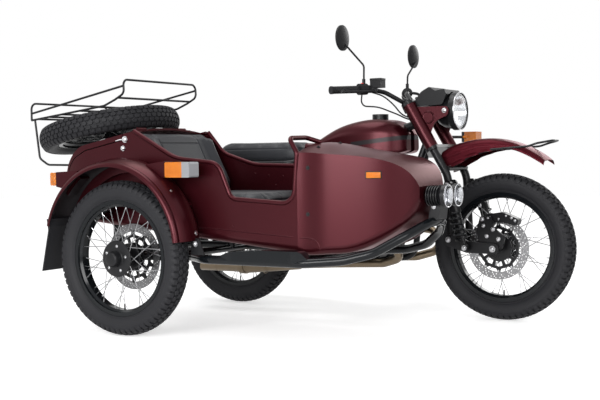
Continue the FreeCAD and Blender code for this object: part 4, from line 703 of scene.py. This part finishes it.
ROUND, FASTENERS, SPRING = make_round_tree(), make_fastener_tree(), make_spring_tree()


def evaluated(obj):
    """What an object's modifiers make of it, as a plain mesh."""
    return bpy.data.meshes.new_from_object(obj.evaluated_get(bpy.context.evaluated_depsgraph_get()))


def grown(tree, base, paint, **inputs):
    """Runs a tree on a mesh and gives back the plain mesh."""
    maker = bpy.data.objects.new("maker", base)
    scene.collection.objects.link(maker)
    modifier = maker.modifiers.new("maker", "NODES")
    modifier.node_group = tree
    values = {label.replace("_", " "): value for label, value in inputs.items()}
    values["Material"] = PAINT[paint]
    for item in tree.interface.items_tree:
        if item.in_out == "INPUT" and item.name in values:
            modifier[item.identifier] = values[item.name]
    work = bmesh.new()
    work.from_mesh(evaluated(maker))
    bpy.data.objects.remove(maker)
    bmesh.ops.remove_doubles(work, verts=work.verts, dist=WELD)
    return plain(work, tree.name)


def fasteners(name, paint, body, rows, sides=6, washer=1.35, head=0.9, tip=0.45):
    """One mesh of fasteners for a body; rows give point, facing and half the head's width in mm."""
    spots = bpy.data.meshes.new("spots")
    spots.from_pydata([tuple(point) for point, _, _ in rows], [], [])
    spots.attributes.new("facing", "FLOAT_VECTOR", "POINT")
    spots.attributes.new("size", "FLOAT", "POINT")
    for k, (_, way, half) in enumerate(rows):
        spots.attributes["facing"].data[k].vector = way
        spots.attributes["size"].data[k].value = half * MM
    mesh = grown(FASTENERS, spots, paint, Sides=sides, Washer=washer, Head_Height=head, Tip=tip)
    return piece(name, smooth(mesh, 40), paint, body)


print("trees", ROUND.name, FASTENERS.name, SPRING.name)

# %% [markdown]
# ## Block-tread tyres
# The real tyres have five rows of rubber blocks with zigzag grooves, and heavier lugs on both shoulders. A
# picture of a tread on a smooth ring would show a smooth edge against the light, so each block is real. One
# pitch of the pattern is modelled and turned round the wheel.

# %% The tyre's casing
WHEELS = {
    # name: axle, body, side of the brake disc
    "front": (Matrix.Translation(FRONT), "front_wheel", -1),
    "rear": (Matrix.Translation(REAR), "rear_wheel", 1),
    "sidecar": (Matrix.Translation(SIDE), "sidecar_wheel", 1),
}
SPARE = Matrix.Translation(at(-240, -750, 920)) @ turned(-11.5, "Y") @ turned(90, "X")
TYRE_R = 343.0                   # over the middle blocks
CROWN_R = 74.1                   # radius of the tread's own curve
CROWN_AT = TYRE_R - CROWN_R


def crown(degrees, depth=0.0):
    """Point (radius, along) on the tread's curve, some way under its surface."""
    a = math.radians(degrees)
    return CROWN_AT + (CROWN_R - depth) * math.cos(a), (CROWN_R - depth) * math.sin(a)


half = [(241, 33), (257, 33), (258.5, 36.5), (261.5, 38.5), (264, 38.2), (266, 40.5), (274, 46), (284, 50.4),
        (287, 50.6), (288.5, 51.6), (291, 51.8), (293, 52.3), (302, 52.6), (311, 51.4), (319, 48.4)]
half += [crown(a, 7.0) for a in (37, 31, 25, 18, 12, 6, 0)]
casing = half + [(r, -w) for r, w in reversed(half[:-1])]
print("casing profile points", len(casing))

# %% One pitch of tread
PITCHES = 68
PITCH = 2 * math.pi / PITCHES
GROOVE = 8.0                     # depth of the blocks' feet under the crown
BLOCK, LUG = 0.84, 0.74          # length of a block and of a lug, in pitches


def spot(r, w, turn):
    """Point of the tread, with its turn in pitches."""
    return (r * MM * math.cos(turn * PITCH), w * MM, r * MM * math.sin(turn * PITCH))


def tread_block(work, middle, wide, shift):
    """Six-sided block of the middle rows, chamfered round its top."""
    rings = []
    for depth, grow in ((GROOVE, 1.08), (1.2, 1.0), (0.0, 0.84)):
        ring = []
        for across, along in ((-1, -0.62), (0, -1), (1, -0.62), (1, 0.62), (0, 1), (-1, 0.62)):
            r, w = crown(middle + across * wide * grow / 2, depth)
            ring.append(work.verts.new(spot(r, w, shift + along * BLOCK * grow / 2)))
        rings.append(ring)
    walled(work, rings, ends=False)
    work.faces.new(rings[-1])


def shoulder_lug(work, sign):
    """Lug that runs over the tyre's shoulder and down its side."""
    outer = [crown(26.5, 0.3), crown(34, 0.0), (327.3, 46.6), (319.5, 51.3), (309, 53.7)]
    inner = [crown(26.5, GROOVE), crown(34, GROOVE), (320, 42), (314, 46), (306, 50)]
    sides = []
    for end, grow in ((-1, 1.0), (-1, 0.86), (1, 0.86), (1, 1.0)):
        share = 0.0 if grow < 1 else 1.3 / GROOVE
        turn = end * LUG * grow / 2
        ring = [work.verts.new(spot(r + (r2 - r) * share, sign * (w + (w2 - w) * share), turn))
                for (r, w), (r2, w2) in zip(outer, inner)]
        if grow == 1.0:
            ring += [work.verts.new(spot(r, sign * w, end * LUG / 2)) for r, w in inner][::-1]
        sides.append(ring)
    low_ring, low_top, high_top, high_ring = sides
    n = len(outer)
    for one, two in ((low_ring, low_top), (low_top, high_top), (high_top, high_ring)):
        for k in range(n - 1):
            work.faces.new([one[k], one[k + 1], two[k + 1], two[k]])
    for k in range(n - 1):
        for ring in (low_ring, high_ring):
            work.faces.new([ring[k], ring[k + 1], ring[2 * n - 2 - k], ring[2 * n - 1 - k]])
    for k in (0, n - 1):
        deep = 2 * n - 1 - k
        work.faces.new([low_ring[k], low_top[k], high_top[k], high_ring[k], high_ring[deep], low_ring[deep]])


work = bmesh.new()
tread_block(work, 0, 14.6, 0.0)
for sign in (-1, 1):
    tread_block(work, sign * 16.9, 14.4, 0.5)
    shoulder_lug(work, sign)
bmesh.ops.recalc_face_normals(work, faces=work.faces)
pitch_mesh = plain(work, "pitch")
print("faces in one pitch", len(pitch_mesh.polygons))

# %% Four tyres
tread = grown(ROUND, pitch_mesh, "rubber", Count=PITCHES)
for name, (place, body, _) in {**WHEELS, "spare": (SPARE, "boot_lid_group", 0)}.items():
    whole = moved(together([lathed(casing, 160), tread], name), place)
    piece(name + "_tyre_tread", smooth(whole, 32), "rubber", body, name + "_tyre")
print("tyre faces", len(whole.polygons))

# %% [markdown]
# ## Brake discs and hubs
# A disc is a steel ring full of small holes, carried by a black spider with windows. Drilling a hundred
# holes by hand is slow and a boolean leaves bad faces, so one sector is cut flat, with its holes, and
# turned round the axle.

# %% Brake disc
DISC_SECTORS = 20


def polar(step, points):
    """Points (radius, share of a step round the axle) as a flat outline."""
    return [(r * math.cos(step * t), r * math.sin(step * t)) for r, t in points]


def arc(radius, first, last, steps):
    return [(radius, first + (last - first) * k / steps) for k in range(steps + 1)]


def hole(radius, angle, size):
    cx, cz = radius * math.cos(angle), radius * math.sin(angle)
    return [(cx + size * c, cz + size * s) for c, s in circle(8)]


step = 2 * math.pi / DISC_SECTORS
holes = [hole(r, step * share, 3.2) for r, share in (
    (118.5, 0.20), (126, 0.36), (134, 0.52), (141, 0.70), (122, 0.72), (138, 0.16))]
sector = plate(polar(step, arc(147, 0, 1, 6) + arc(112, 1, 0, 6)), holes, 5, (0, step))
disc_mesh = grown(ROUND, sector, "disc_steel", Count=DISC_SECTORS)
print("disc faces", len(disc_mesh.polygons))

# %% Spider between hub and disc
ARMS = 10
step = 2 * math.pi / ARMS
lug = [(98, 0.0), (98, 0.30), (104, 0.36), (115, 0.42), (117, 0.5), (115, 0.58), (104, 0.64), (98, 0.70),
       (98, 1.0)]
window = polar(step, [(64, 0.16), (64, 0.5), (64, 0.84), (84, 0.87), (88, 0.5), (84, 0.13)])
sector = plate(polar(step, lug + arc(44, 1, 0, 5)), [window], 6, (0, step))
spider_mesh = grown(ROUND, sector, "black_satin", Count=ARMS)
print("spider faces", len(spider_mesh.polygons))

# %% Hubs, spiders and discs in place
BARREL = [(10, -50), (30, -50), (33, -48), (38, -44), (59, -43), (62, -41), (62, -35), (59, -33.5), (38, -32),
          (36, -26)]
BARREL += [(r, -w) for r, w in reversed(BARREL)]
NECK = [(34, 44), (46, 58), (46, 66), (10, 66), (10, 44)]
COVER = [(0, -42), (44, -42), (76, -42.5), (80, -44), (80, -47), (77, -50.5), (66, -53), (52, -54),
         (41, -54.5), (38, -57), (36, -66), (34, -80), (30, -87), (22, -90), (0, -90)]
SPIDER_AT, DISC_AT = 0.066, 0.070                # metres along the axle from the wheel's middle
BUTTON_AT, BUTTON_R = 0.0725, 0.1075             # where the disc's buttons sit, along and out from the axle
BOLT_AT, BOLT_R, BOLTS = -0.0530, 0.056, 5       # the same for the bolts of the sidecar's hub cover
for name, (place, body, disc_side) in WHEELS.items():
    shapes = [lathed(BARREL, 64), lathed([(r, disc_side * w) for r, w in NECK], 48),
              moved(spider_mesh.copy(), Matrix.Translation((0, disc_side * SPIDER_AT, 0)))]
    rows = []
    for k in range(ARMS):
        a = step * (k + 0.5)
        where = Vector((BUTTON_R * math.cos(a), disc_side * BUTTON_AT, -BUTTON_R * math.sin(a)))
        rows.append((place @ where, Y * disc_side, 3.6))
    if name == "sidecar":
        shapes.append(lathed(COVER, 64, False))
        for k in range(BOLTS):
            a = math.radians(10 + 360 / BOLTS * k)
            rows.append((place @ Vector((BOLT_R * math.cos(a), BOLT_AT, BOLT_R * math.sin(a))), -Y, 4.4))
    hub = moved(together(shapes, name), place)
    piece(name + "_hub_casting", smooth(hub, 30), "black_satin", body, name + "_hub")
    disc = moved(disc_mesh.copy(), place @ Matrix.Translation((0, disc_side * DISC_AT, 0)))
    piece(name + "_brake_disc", smooth(disc, 30), "disc_steel", body)
    fasteners(name + "_disc_buttons", "steel", body, rows, sides=12, washer=1.5, head=0.5, tip=0.5)
print("hubs and discs placed")

# %% Spoke nipples and valves
NIPPLES = 10                     # of each of the four kinds
CROSSING = 52                    # degrees that a spoke leans round the axle
RIM_R, FLANGE_R, FLANGE_AT = 0.2315, 0.058, 0.038    # metres; the flange's place is along the axle
nipples = []
for flange, lean, head, rim_at in ((1, 1, 0, 12), (1, -1, 18, 7.5), (-1, 1, 9, 12), (-1, -1, 27, 7.5)):
    a = math.radians(head + lean * CROSSING)
    foot = Vector((0, flange * rim_at * MM, 0)) + Vector((math.cos(a), 0, math.sin(a))) * RIM_R
    b = math.radians(head)
    start = Vector((FLANGE_R * math.cos(b), flange * FLANGE_AT, FLANGE_R * math.sin(b)))
    back = (start - foot).normalized()
    nipples.append(tube([foot - back * 0.001, foot + back * 0.013, foot + back * 0.016], [3.0, 2.6, 2.0], 8))
all_nipples = grown(ROUND, together(nipples, "nipples"), "steel", Count=NIPPLES)
for name, (place, body, _) in WHEELS.items():
    piece(name + "_nipples", moved(all_nipples.copy(), place), "steel", body)
    stem = [place @ Vector((0, 0, z)) for z in (-0.232, -0.205, -0.204)]
    piece(name + "_valve", tube(stem, [3.2, 3.2, 2.0], 10), "black_plastic", body)
print("nipples", 4 * NIPPLES * len(WHEELS))

# %% [markdown]
# ## Lamps
# A headlamp looks deep because light enters the glass, meets a polished bowl and comes back. The bowl is
# turned as a thin hollow shell, with a separate reflector, a small bulb shield and a bright rim, behind the
# model's glass.

# %% Headlamp
FORWARD = turned(-90, "Z")       # a lathe's axis turned to face ahead
LAMP_PLACE = Matrix.Translation(at(1288, 0, 983)) @ FORWARD
bowl = lathed([(0, -118), (30, -112), (62, -98), (78, -72), (84, -42), (86, -35), (91, -28), (91, 0),
               (88, 3.6), (84.4, 3.6), (84.4, -10), (80, -14), (78, -40), (58, -88), (0, -108)], 96, False)
pegs = [tube([at(1251, sign * 80, 985), at(1251, sign * 100.6, 985)], 11, 24) for sign in (-1, 1)]
shell = together([moved(bowl, LAMP_PLACE)] + pegs, "bowl")
piece("headlamp_bowl", shell, "black_satin", "steering", "headlamp")
reflector = lathed([(83.6, -10.5), (76, -27), (62, -44), (44, -58), (24, -67), (9, -70), (9, -71.5),
                    (24, -68.5), (45, -59.5), (63, -45.5), (77, -28), (84, -12)])
shield = lathed([(0, -26), (8, -27.5), (11, -33), (10, -44), (6, -46), (6, -70), (0, -70)], 32, False)
mirror = moved(together([reflector, shield], "reflector"), LAMP_PLACE)
piece("headlamp_reflector", mirror, "chrome", "steering")
rim = lathed([(84.6, 0.5), (90.6, -1.0), (91.0, 1.5), (89.4, 3.8), (85.4, 3.9)])
piece("headlamp_rim", moved(rim, LAMP_PLACE), "chrome", "steering")
print("headlamp depth 118 mm")

# %% Driving lamps
TUB_Y = -745                     # the sidecar's own centre line
DISH = [(42.6, -0.6), (34, -3.6), (22, -6.2), (10, -7.2), (0, -7.4), (0, -7.9), (22, -7.0), (36, -4.4),
        (42.8, -1.6)]
BULB_CAP = [(0, -2.0), (9, -2.6), (10, -4.0), (8, -7.2), (0, -7.2)]
BEZEL = [(43.2, 0.0), (45.0, 0.9), (46.9, 0.4), (46.9, -1.0), (43.2, -1.0)]
DOME = [(42.4, 0.0), (38, 1.9), (28, 4.0), (14, 5.5), (0, 6.0), (0, 4.6), (14, 4.1), (28, 2.6), (38, 0.5),
        (42.4, -1.2)]
bright, glass = [], []
for sign in (-1, 1):
    place = Matrix.Translation(at(1573, TUB_Y + sign * 51, 612)) @ FORWARD
    for made, profile, steps, closed in ((bright, DISH, 64, True), (bright, BULB_CAP, 24, False),
                                         (bright, BEZEL, 64, True), (glass, DOME, 64, False)):
        made.append(moved(lathed(profile, steps, closed), place))
piece("driving_reflectors", together(bright, "bright"), "chrome", "chassis")
piece("driving_glasses", together(glass, "glass"), "glass", "chassis", "driving_lamp_lenses")
print("driving lamps", len(glass))

# %% Nose reflector and mirror glass


def rounded_slab(wide, tall, thick, corner, bevel, place):
    """Plate with round corners and a soft edge, lying on the local XY plane."""
    work = bmesh.new()
    rings = []
    foot, part = -3.0, 0.3                       # its hidden foot, and the middle step of the soft edge
    for level, inset in ((foot, 0.0), (thick - bevel, 0.0), (thick - bevel * part, bevel * part),
                         (thick, bevel)):
        ring = []
        for cx, cy, first in ((1, 1, 0), (-1, 1, 90), (-1, -1, 180), (1, -1, 270)):
            for k in range(5):
                a = math.radians(first + 22.5 * k)
                ring.append(work.verts.new(Vector((
                    cx * (wide / 2 - corner) + (corner - inset) * math.cos(a),
                    cy * (tall / 2 - corner) + (corner - inset) * math.sin(a), level)) * MM))
        rings.append(ring)
    return moved(smooth(mesh_of(walled(work, rings), "slab")), place)


spot_at, facing = body_side(1325, 700)
along = (Vector((1, 0, 0)) - facing * facing.x).normalized()
lift = Matrix.Translation(spot_at) @ Matrix((along, facing.cross(along), facing)).transposed().to_4x4()
piece("nose_reflector_base", rounded_slab(66, 31, 3.0, 4, 1.2, lift), "black_plastic", "chassis")
piece("nose_reflector", rounded_slab(58, 24, 7.0, 3, 2.0, lift), "amber", "chassis")
faces = []
for x, y, z in ((850, -350, 1330), (880, 352, 1290)):
    place = Matrix.Translation(at(x - 8.2, y, z)) @ turned(90, "Z")
    faces.append(moved(lathed([(0, 0.9), (52, 0.7), (54, 0.2), (54, -1.0), (0, -1.0)], 64, False), place))
piece("mirror_glass", together(faces, "glass"), "chrome", "steering")
print("reflector at", [round(v, 3) for v in spot_at])

# %% [markdown]
# ## Handlebar details
# Hands need grip: the rubber grips have raised rings. The levers end in a ball so they can't catch a
# sleeve, and the brake's fluid cup has a flat lid held by two screws.

# %% Grips, levers and cup
GRIP_RINGS = 17
GRIP_FROM, GRIP_LONG = 0.36, 0.60                # shares of the bar's outer length
BALL = [(0, -8), (5, -6.5), (7.6, -2.5), (8, 0), (7.6, 2.5), (5, 6.5), (0, 8)]
grips, balls = [], []
for sign in (-1, 1):
    inner, outer = at(912, sign * 205, 1095), at(808, sign * 390, 1086)
    way = outer - inner
    long = way.length / MM
    profile = []
    for k in range(GRIP_RINGS):
        s = long * (GRIP_FROM + GRIP_LONG * k / (GRIP_RINGS - 1))
        profile += [(16.8, s - 2.0), (17.9, s - 1.0), (17.9, s + 1.0), (16.8, s + 2.0)]
    profile = [(16.0, profile[0][1])] + profile + [(16.0, profile[-1][1])]
    turn = way.to_track_quat("Y", "Z").to_matrix().to_4x4()
    grips.append(moved(lathed(profile, 28), Matrix.Translation(inner) @ turn))
    tip = inner + way * 0.03 + Vector((-0.040, sign * 0.190, -0.020))
    balls.append(moved(lathed(BALL, 20, False), Matrix.Translation(tip)))
piece("grip_rings", together(grips, "grips"), "black_plastic", "steering")
piece("lever_ends", together(balls, "balls"), "black_satin", "steering")
lid = rounded_slab(62, 58, 6.5, 8, 2, Matrix.Translation(at(944, -186, 1138.5)))
piece("cup_lid", lid, "black_plastic", "steering")
button = moved(lathed([(0, 6), (5.5, 5.4), (7.5, 3), (7.5, -8), (0, -8)], 24, False),
               Matrix.Translation(at(891, -243, 1118)) @ turned(90, "X"))
piece("stop_button", button, "red_knob", "steering")
rows = [(at(944, -186 + s * 18, 1144.8), Z, 2.6) for s in (-1, 1)]
fasteners("cup_screws", "steel", "steering", rows, sides=12, washer=1.2, head=0.3, tip=0.4)
print("grip rings", GRIP_RINGS * 2)

# %% [markdown]
# ## Springs
# The dampers sit inside coil springs. The coil is wound by a tree from its turns, radius, height and wire,
# and stood on each damper's own line.

# %% Springs
SEAT = 0.040                     # metres from a damper's eye to its spring
COVERED = 0.55                   # share of the damper's length that the spring reaches
WIRE_R = 0.0042
for name, body, (low_x, low_z), (top_x, top_z), y, wide, turns in (
        ("front_springs", "steering", (1378, 347), (1297, 640), 193, 25.5, 5),
        ("rear_springs", "chassis", (22, 392), (96, 731), 184, 29, 6)):
    coils = []
    for sign in (-1, 1):
        start = at(low_x, sign * y, low_z)
        way = at(top_x, sign * y, top_z) - start
        coil = grown(SPRING, bpy.data.meshes.new("start"), "black_gloss", Turns=float(turns),
                     Radius=wide * MM, Height=COVERED * way.length - SEAT, Wire=WIRE_R)
        lean = way.to_track_quat("Z", "Y").to_matrix().to_4x4()
        coils.append(moved(coil, Matrix.Translation(start + way.normalized() * SEAT) @ lean))
    piece(name, smooth(together(coils, name), 60), "black_gloss", body)
print("springs 4")

# %% [markdown]
# ## Bolts and rivets
# Bright bolts mark every joint of the front fork, and small rivets hold the fenders. Each row below names a
# spot on the vehicle; a ray finds the metal there, and the fastener tree builds all of a body's bolts at
# once.

# %% Bolts of the front fork
rows = []
for sign in (-1, 1):
    for x, y, z, half_width in (
            (1283, 145, 380, 10), (1378, 184, 347, 9), (1297, 184, 640, 8), (1500, 145, 343, 11)):
        rows.append((at(x, sign * y, z), Y * sign, half_width))
for x, z, half_width in ((1446, 478, 8), (1452, 448, 7), (1498, 432, 7.5), (1468, 400, 7), (1524, 388, 7.5),
                         (1474, 484, 4), (1574, 484, 5), (1591, 472, 5), (1548, 493, 4), (1512, 478, 4)):
    rows.append((touch("brake_caliper", at(x, -330, z), Y)[0], -Y, half_width))
fasteners("front_end_bolts", "steel", "steering", rows)
rows = [(at(1251, s * 105.5, 985), Y * s, 9.0) for s in (-1, 1)]
fasteners("ear_bolts", "chrome", "steering", rows, sides=24, washer=1.3, head=0.55, tip=0.5)
print("fork bolts placed")

# %% Ear rings
RING = [(24.0, 0), (25.5, 2.6), (28, 3.0), (30.5, 1.4), (31, -1.5), (24, -1.5)]
rings = [moved(lathed([(r, s * w) for r, w in RING], 48), Matrix.Translation(at(1171, s * 106.5, 955)))
         for s in (-1, 1)]
piece("ear_rings", together(rings, "rings"), "burgundy", "steering")

# %% Rivets and studs of the sidecar
ARCH_X, ARCH_Z, FAR_OUT = 150, 386, 700          # middle of the fender's arch, and where the rays start
rows = []
for degrees, y, half_width in (
        (156, -1205, 5), (150, -1090, 5), (136, -1208, 4), (40, -1160, 4.5), (10.5, -1105, 8)):
    a = math.radians(degrees)
    start = at(ARCH_X + FAR_OUT * math.cos(a), y, ARCH_Z + FAR_OUT * math.sin(a))
    rows.append((*touch("sidecar_fender", start, at(ARCH_X, y, ARCH_Z) - start), half_width))
fasteners("fender_rivets", "steel", "chassis", rows, sides=14, washer=1.5, head=0.45, tip=0.55)
bracket = plate([(520, 366), (592, 366), (566, 436), (524, 440)], [], 5)
bracket = moved(bracket, Matrix.Translation(at(0, -1115, 0)))
piece("fender_bracket", smooth(bracket, 30), "black_satin", "chassis")
fasteners("bracket_bolts", "steel", "chassis", [(at(545, -1117.5, 413), -Y, 9.0)])
rows = [(*body_side(x, z), 5.5) for x, z in ((1054, 732), (1051, 542))]
rows += [(*touch("sidecar_body", at(1050, y, 1200), -Z), 5.5) for y in (TUB_Y - 185, TUB_Y, TUB_Y + 185)]
fasteners("cover_studs", "black_plastic", "chassis", rows, sides=12, washer=1.6, head=0.7, tip=0.7)
rows = [(*body_side(x, z), 3.6) for x, z in ((681, 489), (375, 500))]
rows += [(*body_side(x, z, TUB_Y), 3.8) for x, z in (
    (421, 700), (500, 692), (580, 688), (660, 684), (740, 681), (820, 679), (538, 646), (640, 610))]
fasteners("body_rivets", "burgundy", "chassis", rows, sides=14, washer=1.5, head=0.5, tip=0.6)
print("rivets placed")

# %% Boot latch and sill line
knobs = [(*body_side(x, z), half_width) for x, z, half_width in ((93, 868, 11), (81, 828, 9))]
fasteners("latch_knobs", "chrome", "chassis", knobs, sides=20, washer=1.35, head=0.9, tip=0.5)
point = knobs[0][0] + Vector((0, -0.004, 0))
bend, tip = point + Vector((-0.022, -0.002, -0.001)), point + Vector((-0.052, 0, -0.006))
lever = tube([point, bend, tip], [5, 4.2, 3])
piece("latch_lever", lever, "chrome", "chassis")
line = [body_side(x, z)[0] for x, z in (
    (500, 476), (600, 473), (700, 466), (820, 458), (940, 450), (1030, 445), (1070, 442), (1092, 432),
    (1102, 415), (1106, 398))]
sill = tube([p + Vector((0, 0.0006, 0)) for p in curved(line, 5)], 2.6, 10)
piece("sill_bead", sill, "burgundy", "chassis")
print("latch and sill placed")

# %% Silencer welds and lamp brackets
PIPE_R = 39.4
WELD_RING = [(PIPE_R - 1.5, -2.2), (PIPE_R, -1.6), (PIPE_R + 0.9, 0), (PIPE_R, 1.6), (PIPE_R - 1.5, 2.2)]
rings = [moved(lathed(WELD_RING, 48), Matrix.Translation(at(x, -250, 232)) @ FORWARD) for x in (40, 330)]
piece("silencer_welds", together(rings, "welds"), "exhaust", "chassis")
rows = [(at(1503, TUB_Y + s * 40, 566), Y * s, 6.5) for s in (-1, 1)]
fasteners("lamp_bracket_bolts", "steel", "chassis", rows)
print("welds", len(rings))

# %% [markdown]
# ## Padded seats
# Foam under vinyl bulges between its seams and pulls in at them. A modelled box with round edges never
# looks soft, so each pad starts a little small, is given an even skin of small faces, and is blown up by
# the cloth solver. Seams and sewn channels are pressed in afterwards, because the even skin would rub them
# out.

# %% Blow up a pad
FRAMES = 20
PRESSURE = 4.0


def lofted(rings, name):
    """Closed form through rings of the same number of points, in scene metres."""
    work = bmesh.new()
    return mesh_of(walled(work, [[work.verts.new(p) for p in ring] for ring in rings]), name)


def blown(mesh, voxel, cap):
    """Even skin, then twenty frames of cloth under pressure, with each point's travel capped in mm."""
    pad = bpy.data.objects.new("pad", mesh)
    scene.collection.objects.link(pad)
    skin = pad.modifiers.new("skin", "REMESH")
    skin.mode = "VOXEL"
    skin.voxel_size = voxel * MM
    even = evaluated(pad)
    pad.modifiers.clear()
    pad.data = even
    rest = [v.co.copy() for v in even.vertices]
    cloth = pad.modifiers.new("cloth", "CLOTH").settings
    cloth.use_pressure = True
    cloth.uniform_pressure_force = PRESSURE
    cloth.effector_weights.gravity = 0
    cloth.tension_stiffness = 30
    cloth.compression_stiffness = 30
    cloth.bending_stiffness = 2
    for number in range(1, FRAMES + 1):
        scene.frame_set(number)
    done = evaluated(pad)
    pad.modifiers.clear()
    scene.frame_set(1)
    for k, vertex in enumerate(done.vertices):
        travel = vertex.co - rest[k]
        if travel.length > cap * MM:
            vertex.co = rest[k] + travel.normalized() * cap * MM
    pad.data = done
    return pad


def settled(pad, name):
    """One subdivision, then the object is dropped and its plain mesh kept."""
    fine = pad.modifiers.new("fine", "SUBSURF")
    fine.levels = fine.render_levels = 1
    mesh = evaluated(pad)
    bpy.data.objects.remove(pad)
    mesh.name = name
    mesh.shade_smooth()
    return mesh


def pressed(mesh, distance, wide, deep):
    """Sinks points towards the inside where `distance` (mm from a seam's line) is small."""
    normals = [v.normal.copy() for v in mesh.vertices]
    for k, vertex in enumerate(mesh.vertices):
        gap = distance((vertex.co - GROUND) / MM)
        if gap is not None and gap <= 3 * wide:
            vertex.co -= normals[k] * deep * MM * math.exp(-(gap / wide) ** 2)
    mesh.update()


def swelled_ring(half_long, half_wide, corner):
    """Rounded rectangle of forty points for a pad's outline; a larger `corner` makes squarer corners."""
    power = 2 / corner
    return [(half_long * math.copysign(abs(c) ** power, c), half_wide * math.copysign(abs(s) ** power, s))
            for c, s in circle(40)]


def room(node):
    """A soft node's box in mm from the rear axle: its corners, then the middle and half of its x and y."""
    low, high = [(Vector(corner) - GROUND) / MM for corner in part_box(node)]
    return low, high, (low.x + high.x) / 2, (low.y + high.y) / 2, (high.x - low.x) / 2, (high.y - low.y) / 2


print("pad helpers ready")

# %% Sidecar cushion
cl, ch, mid_x, mid_y, half_x, half_y = room("sidecar_seat_cushion")
rings = []
for share, inset in ((0.00, 16), (0.06, 6), (0.30, 4), (0.62, 4), (0.82, 9), (0.93, 20), (0.97, 38)):
    z = cl.z + 1 + (ch.z - cl.z - 2) * share
    rings.append([at(mid_x + x, mid_y + y, z) for x, y in swelled_ring(half_x - inset, half_y - inset, 7)])
pad = blown(lofted(rings, "cushion"), 7, 12)
for vertex in pad.data.vertices:
    p = (vertex.co - GROUND) / MM
    vertex.co = at(min(max(p.x, cl.x), ch.x), min(max(p.y, cl.y), ch.y), min(max(p.z, cl.z + 0.2), ch.z + 6))
cushion = settled(pad, "cushion")


def welt(p):
    """Line round the cushion where its top panel is sewn to its sides."""
    return abs(p.z - (ch.z - 27)) if p.z < ch.z - 8 else None


def channels(p):
    """Two sewn lines across the top, front to back, and one side to side."""
    if p.z < ch.z - 30:
        return None
    return min(abs(abs(p.y - mid_y) - half_y * 0.62), abs(p.x - (ch.x - 95)))


pressed(cushion, welt, 3.0, 3.2)
pressed(cushion, channels, 3.4, 4.0)
piece("cushion_pad", cushion, "vinyl", "chassis", "sidecar_seat_cushion")
print("cushion", [round(v) for v in (ch - cl)], "faces", len(cushion.polygons))

# %% Sidecar backrest
TOP_X, TOP_Z = 150.0, 906.0      # middle of the front face's upper edge
DOWN_X, DOWN_Z = 0.467, -0.884
BACK_LONG, BACK_HALF, BACK_THICK = 318.0, 248.0, 60.0


def back_point(down, thick, y):
    """Point by its distance down the backrest, its depth in from the front face, and y."""
    return at(TOP_X + DOWN_X * down + DOWN_Z * thick, y, TOP_Z + DOWN_Z * down - DOWN_X * thick)


print("front of the backrest's top", [round(v, 3) for v in back_point(0, 0, TUB_Y)])
rings = []
for k in range(23):
    u = -1 + 2 * k / 22                                                      # from one side to the other
    drop = 12 * max(0.0, (abs(u) - 0.80) / 0.20) ** 2.2                      # rounds the upper corners
    wing = 4 + 40 * min(1.0, max(0.0, (abs(u) - 0.70) / 0.26)) ** 1.3        # bolsters stand forward
    edge = 1 - max(0.0, (abs(u) - 0.93) / 0.07) ** 2 * 0.45                  # thins towards each side
    ring = []
    for c, s in circle(28):
        down = BACK_LONG / 2 + drop / 2 - 5
        down += (BACK_LONG / 2 - drop / 2 + 1) * abs(c) ** 0.42 * (1 if c > 0 else -1)
        thick = BACK_THICK / 2 - (BACK_THICK / 2 - 7) * edge * abs(s) ** 0.5 * (1 if s > 0 else -1)
        if s > 0:
            thick -= wing * min(1, abs(s) * 1.4) * min(1.0, max(0.55, down / 50))
        ring.append(back_point(down, thick, TUB_Y + u * (BACK_HALF - 5)))
    rings.append(ring)
backrest = settled(blown(lofted(rings, "backrest"), 6, 9), "backrest")


def back_lines(p):
    """Seams between the middle panel and the bolsters, and one across below the top."""
    dx, dz = p.x - TOP_X, p.z - TOP_Z
    down = dx * DOWN_X + dz * DOWN_Z
    if dx * DOWN_Z - dz * DOWN_X > 26:
        return None
    across = abs(p.y - TUB_Y)
    cross_seam = abs(down - 66) if across < BACK_HALF * 0.6 else 99
    return min(abs(across - BACK_HALF * (0.60 - 0.0002 * down)), cross_seam)


pressed(backrest, back_lines, 3.2, 4.2)
piece("backrest_pad", backrest, "vinyl", "chassis", "sidecar_seat_back")
print("backrest faces", len(backrest.polygons))

# %% Rider's bench
bl, bh, mid_x, mid_y, half_x, half_y = room("rider_seat")
rings = []
for share, inset in ((0.02, 14), (0.08, 5), (0.42, 4), (0.72, 7), (0.86, 16), (0.955, 34)):
    z = bl.z + (bh.z - bl.z) * share
    ring = []
    for x, y in swelled_ring(half_x - inset, half_y - inset, 6):
        waist = 1 - 0.10 * max(0.0, x / half_x) ** 2                         # narrower at the tank
        dip = -8 * math.exp(-((x - 90) / 110) ** 2) * (share > 0.6)          # the rider's hollow
        ring.append(at(mid_x + x, mid_y + y * waist, z + dip))
    rings.append(ring)
bench = settled(blown(lofted(rings, "bench"), 7, 10), "bench")


def bench_lines(p):
    """The welt round the top panel, and the sewn channels across it."""
    if p.z < bh.z - 24:
        return abs(p.z - (bh.z - 30)) if p.z > bh.z - 40 else None
    return abs(((p.x - bl.x - 40) % 62) - 31) if abs(p.y) < 82 else None


pressed(bench, bench_lines, 3.0, 3.2)
piece("bench_pad", bench, "vinyl", "chassis", "rider_seat")
print("bench faces", len(bench.polygons))
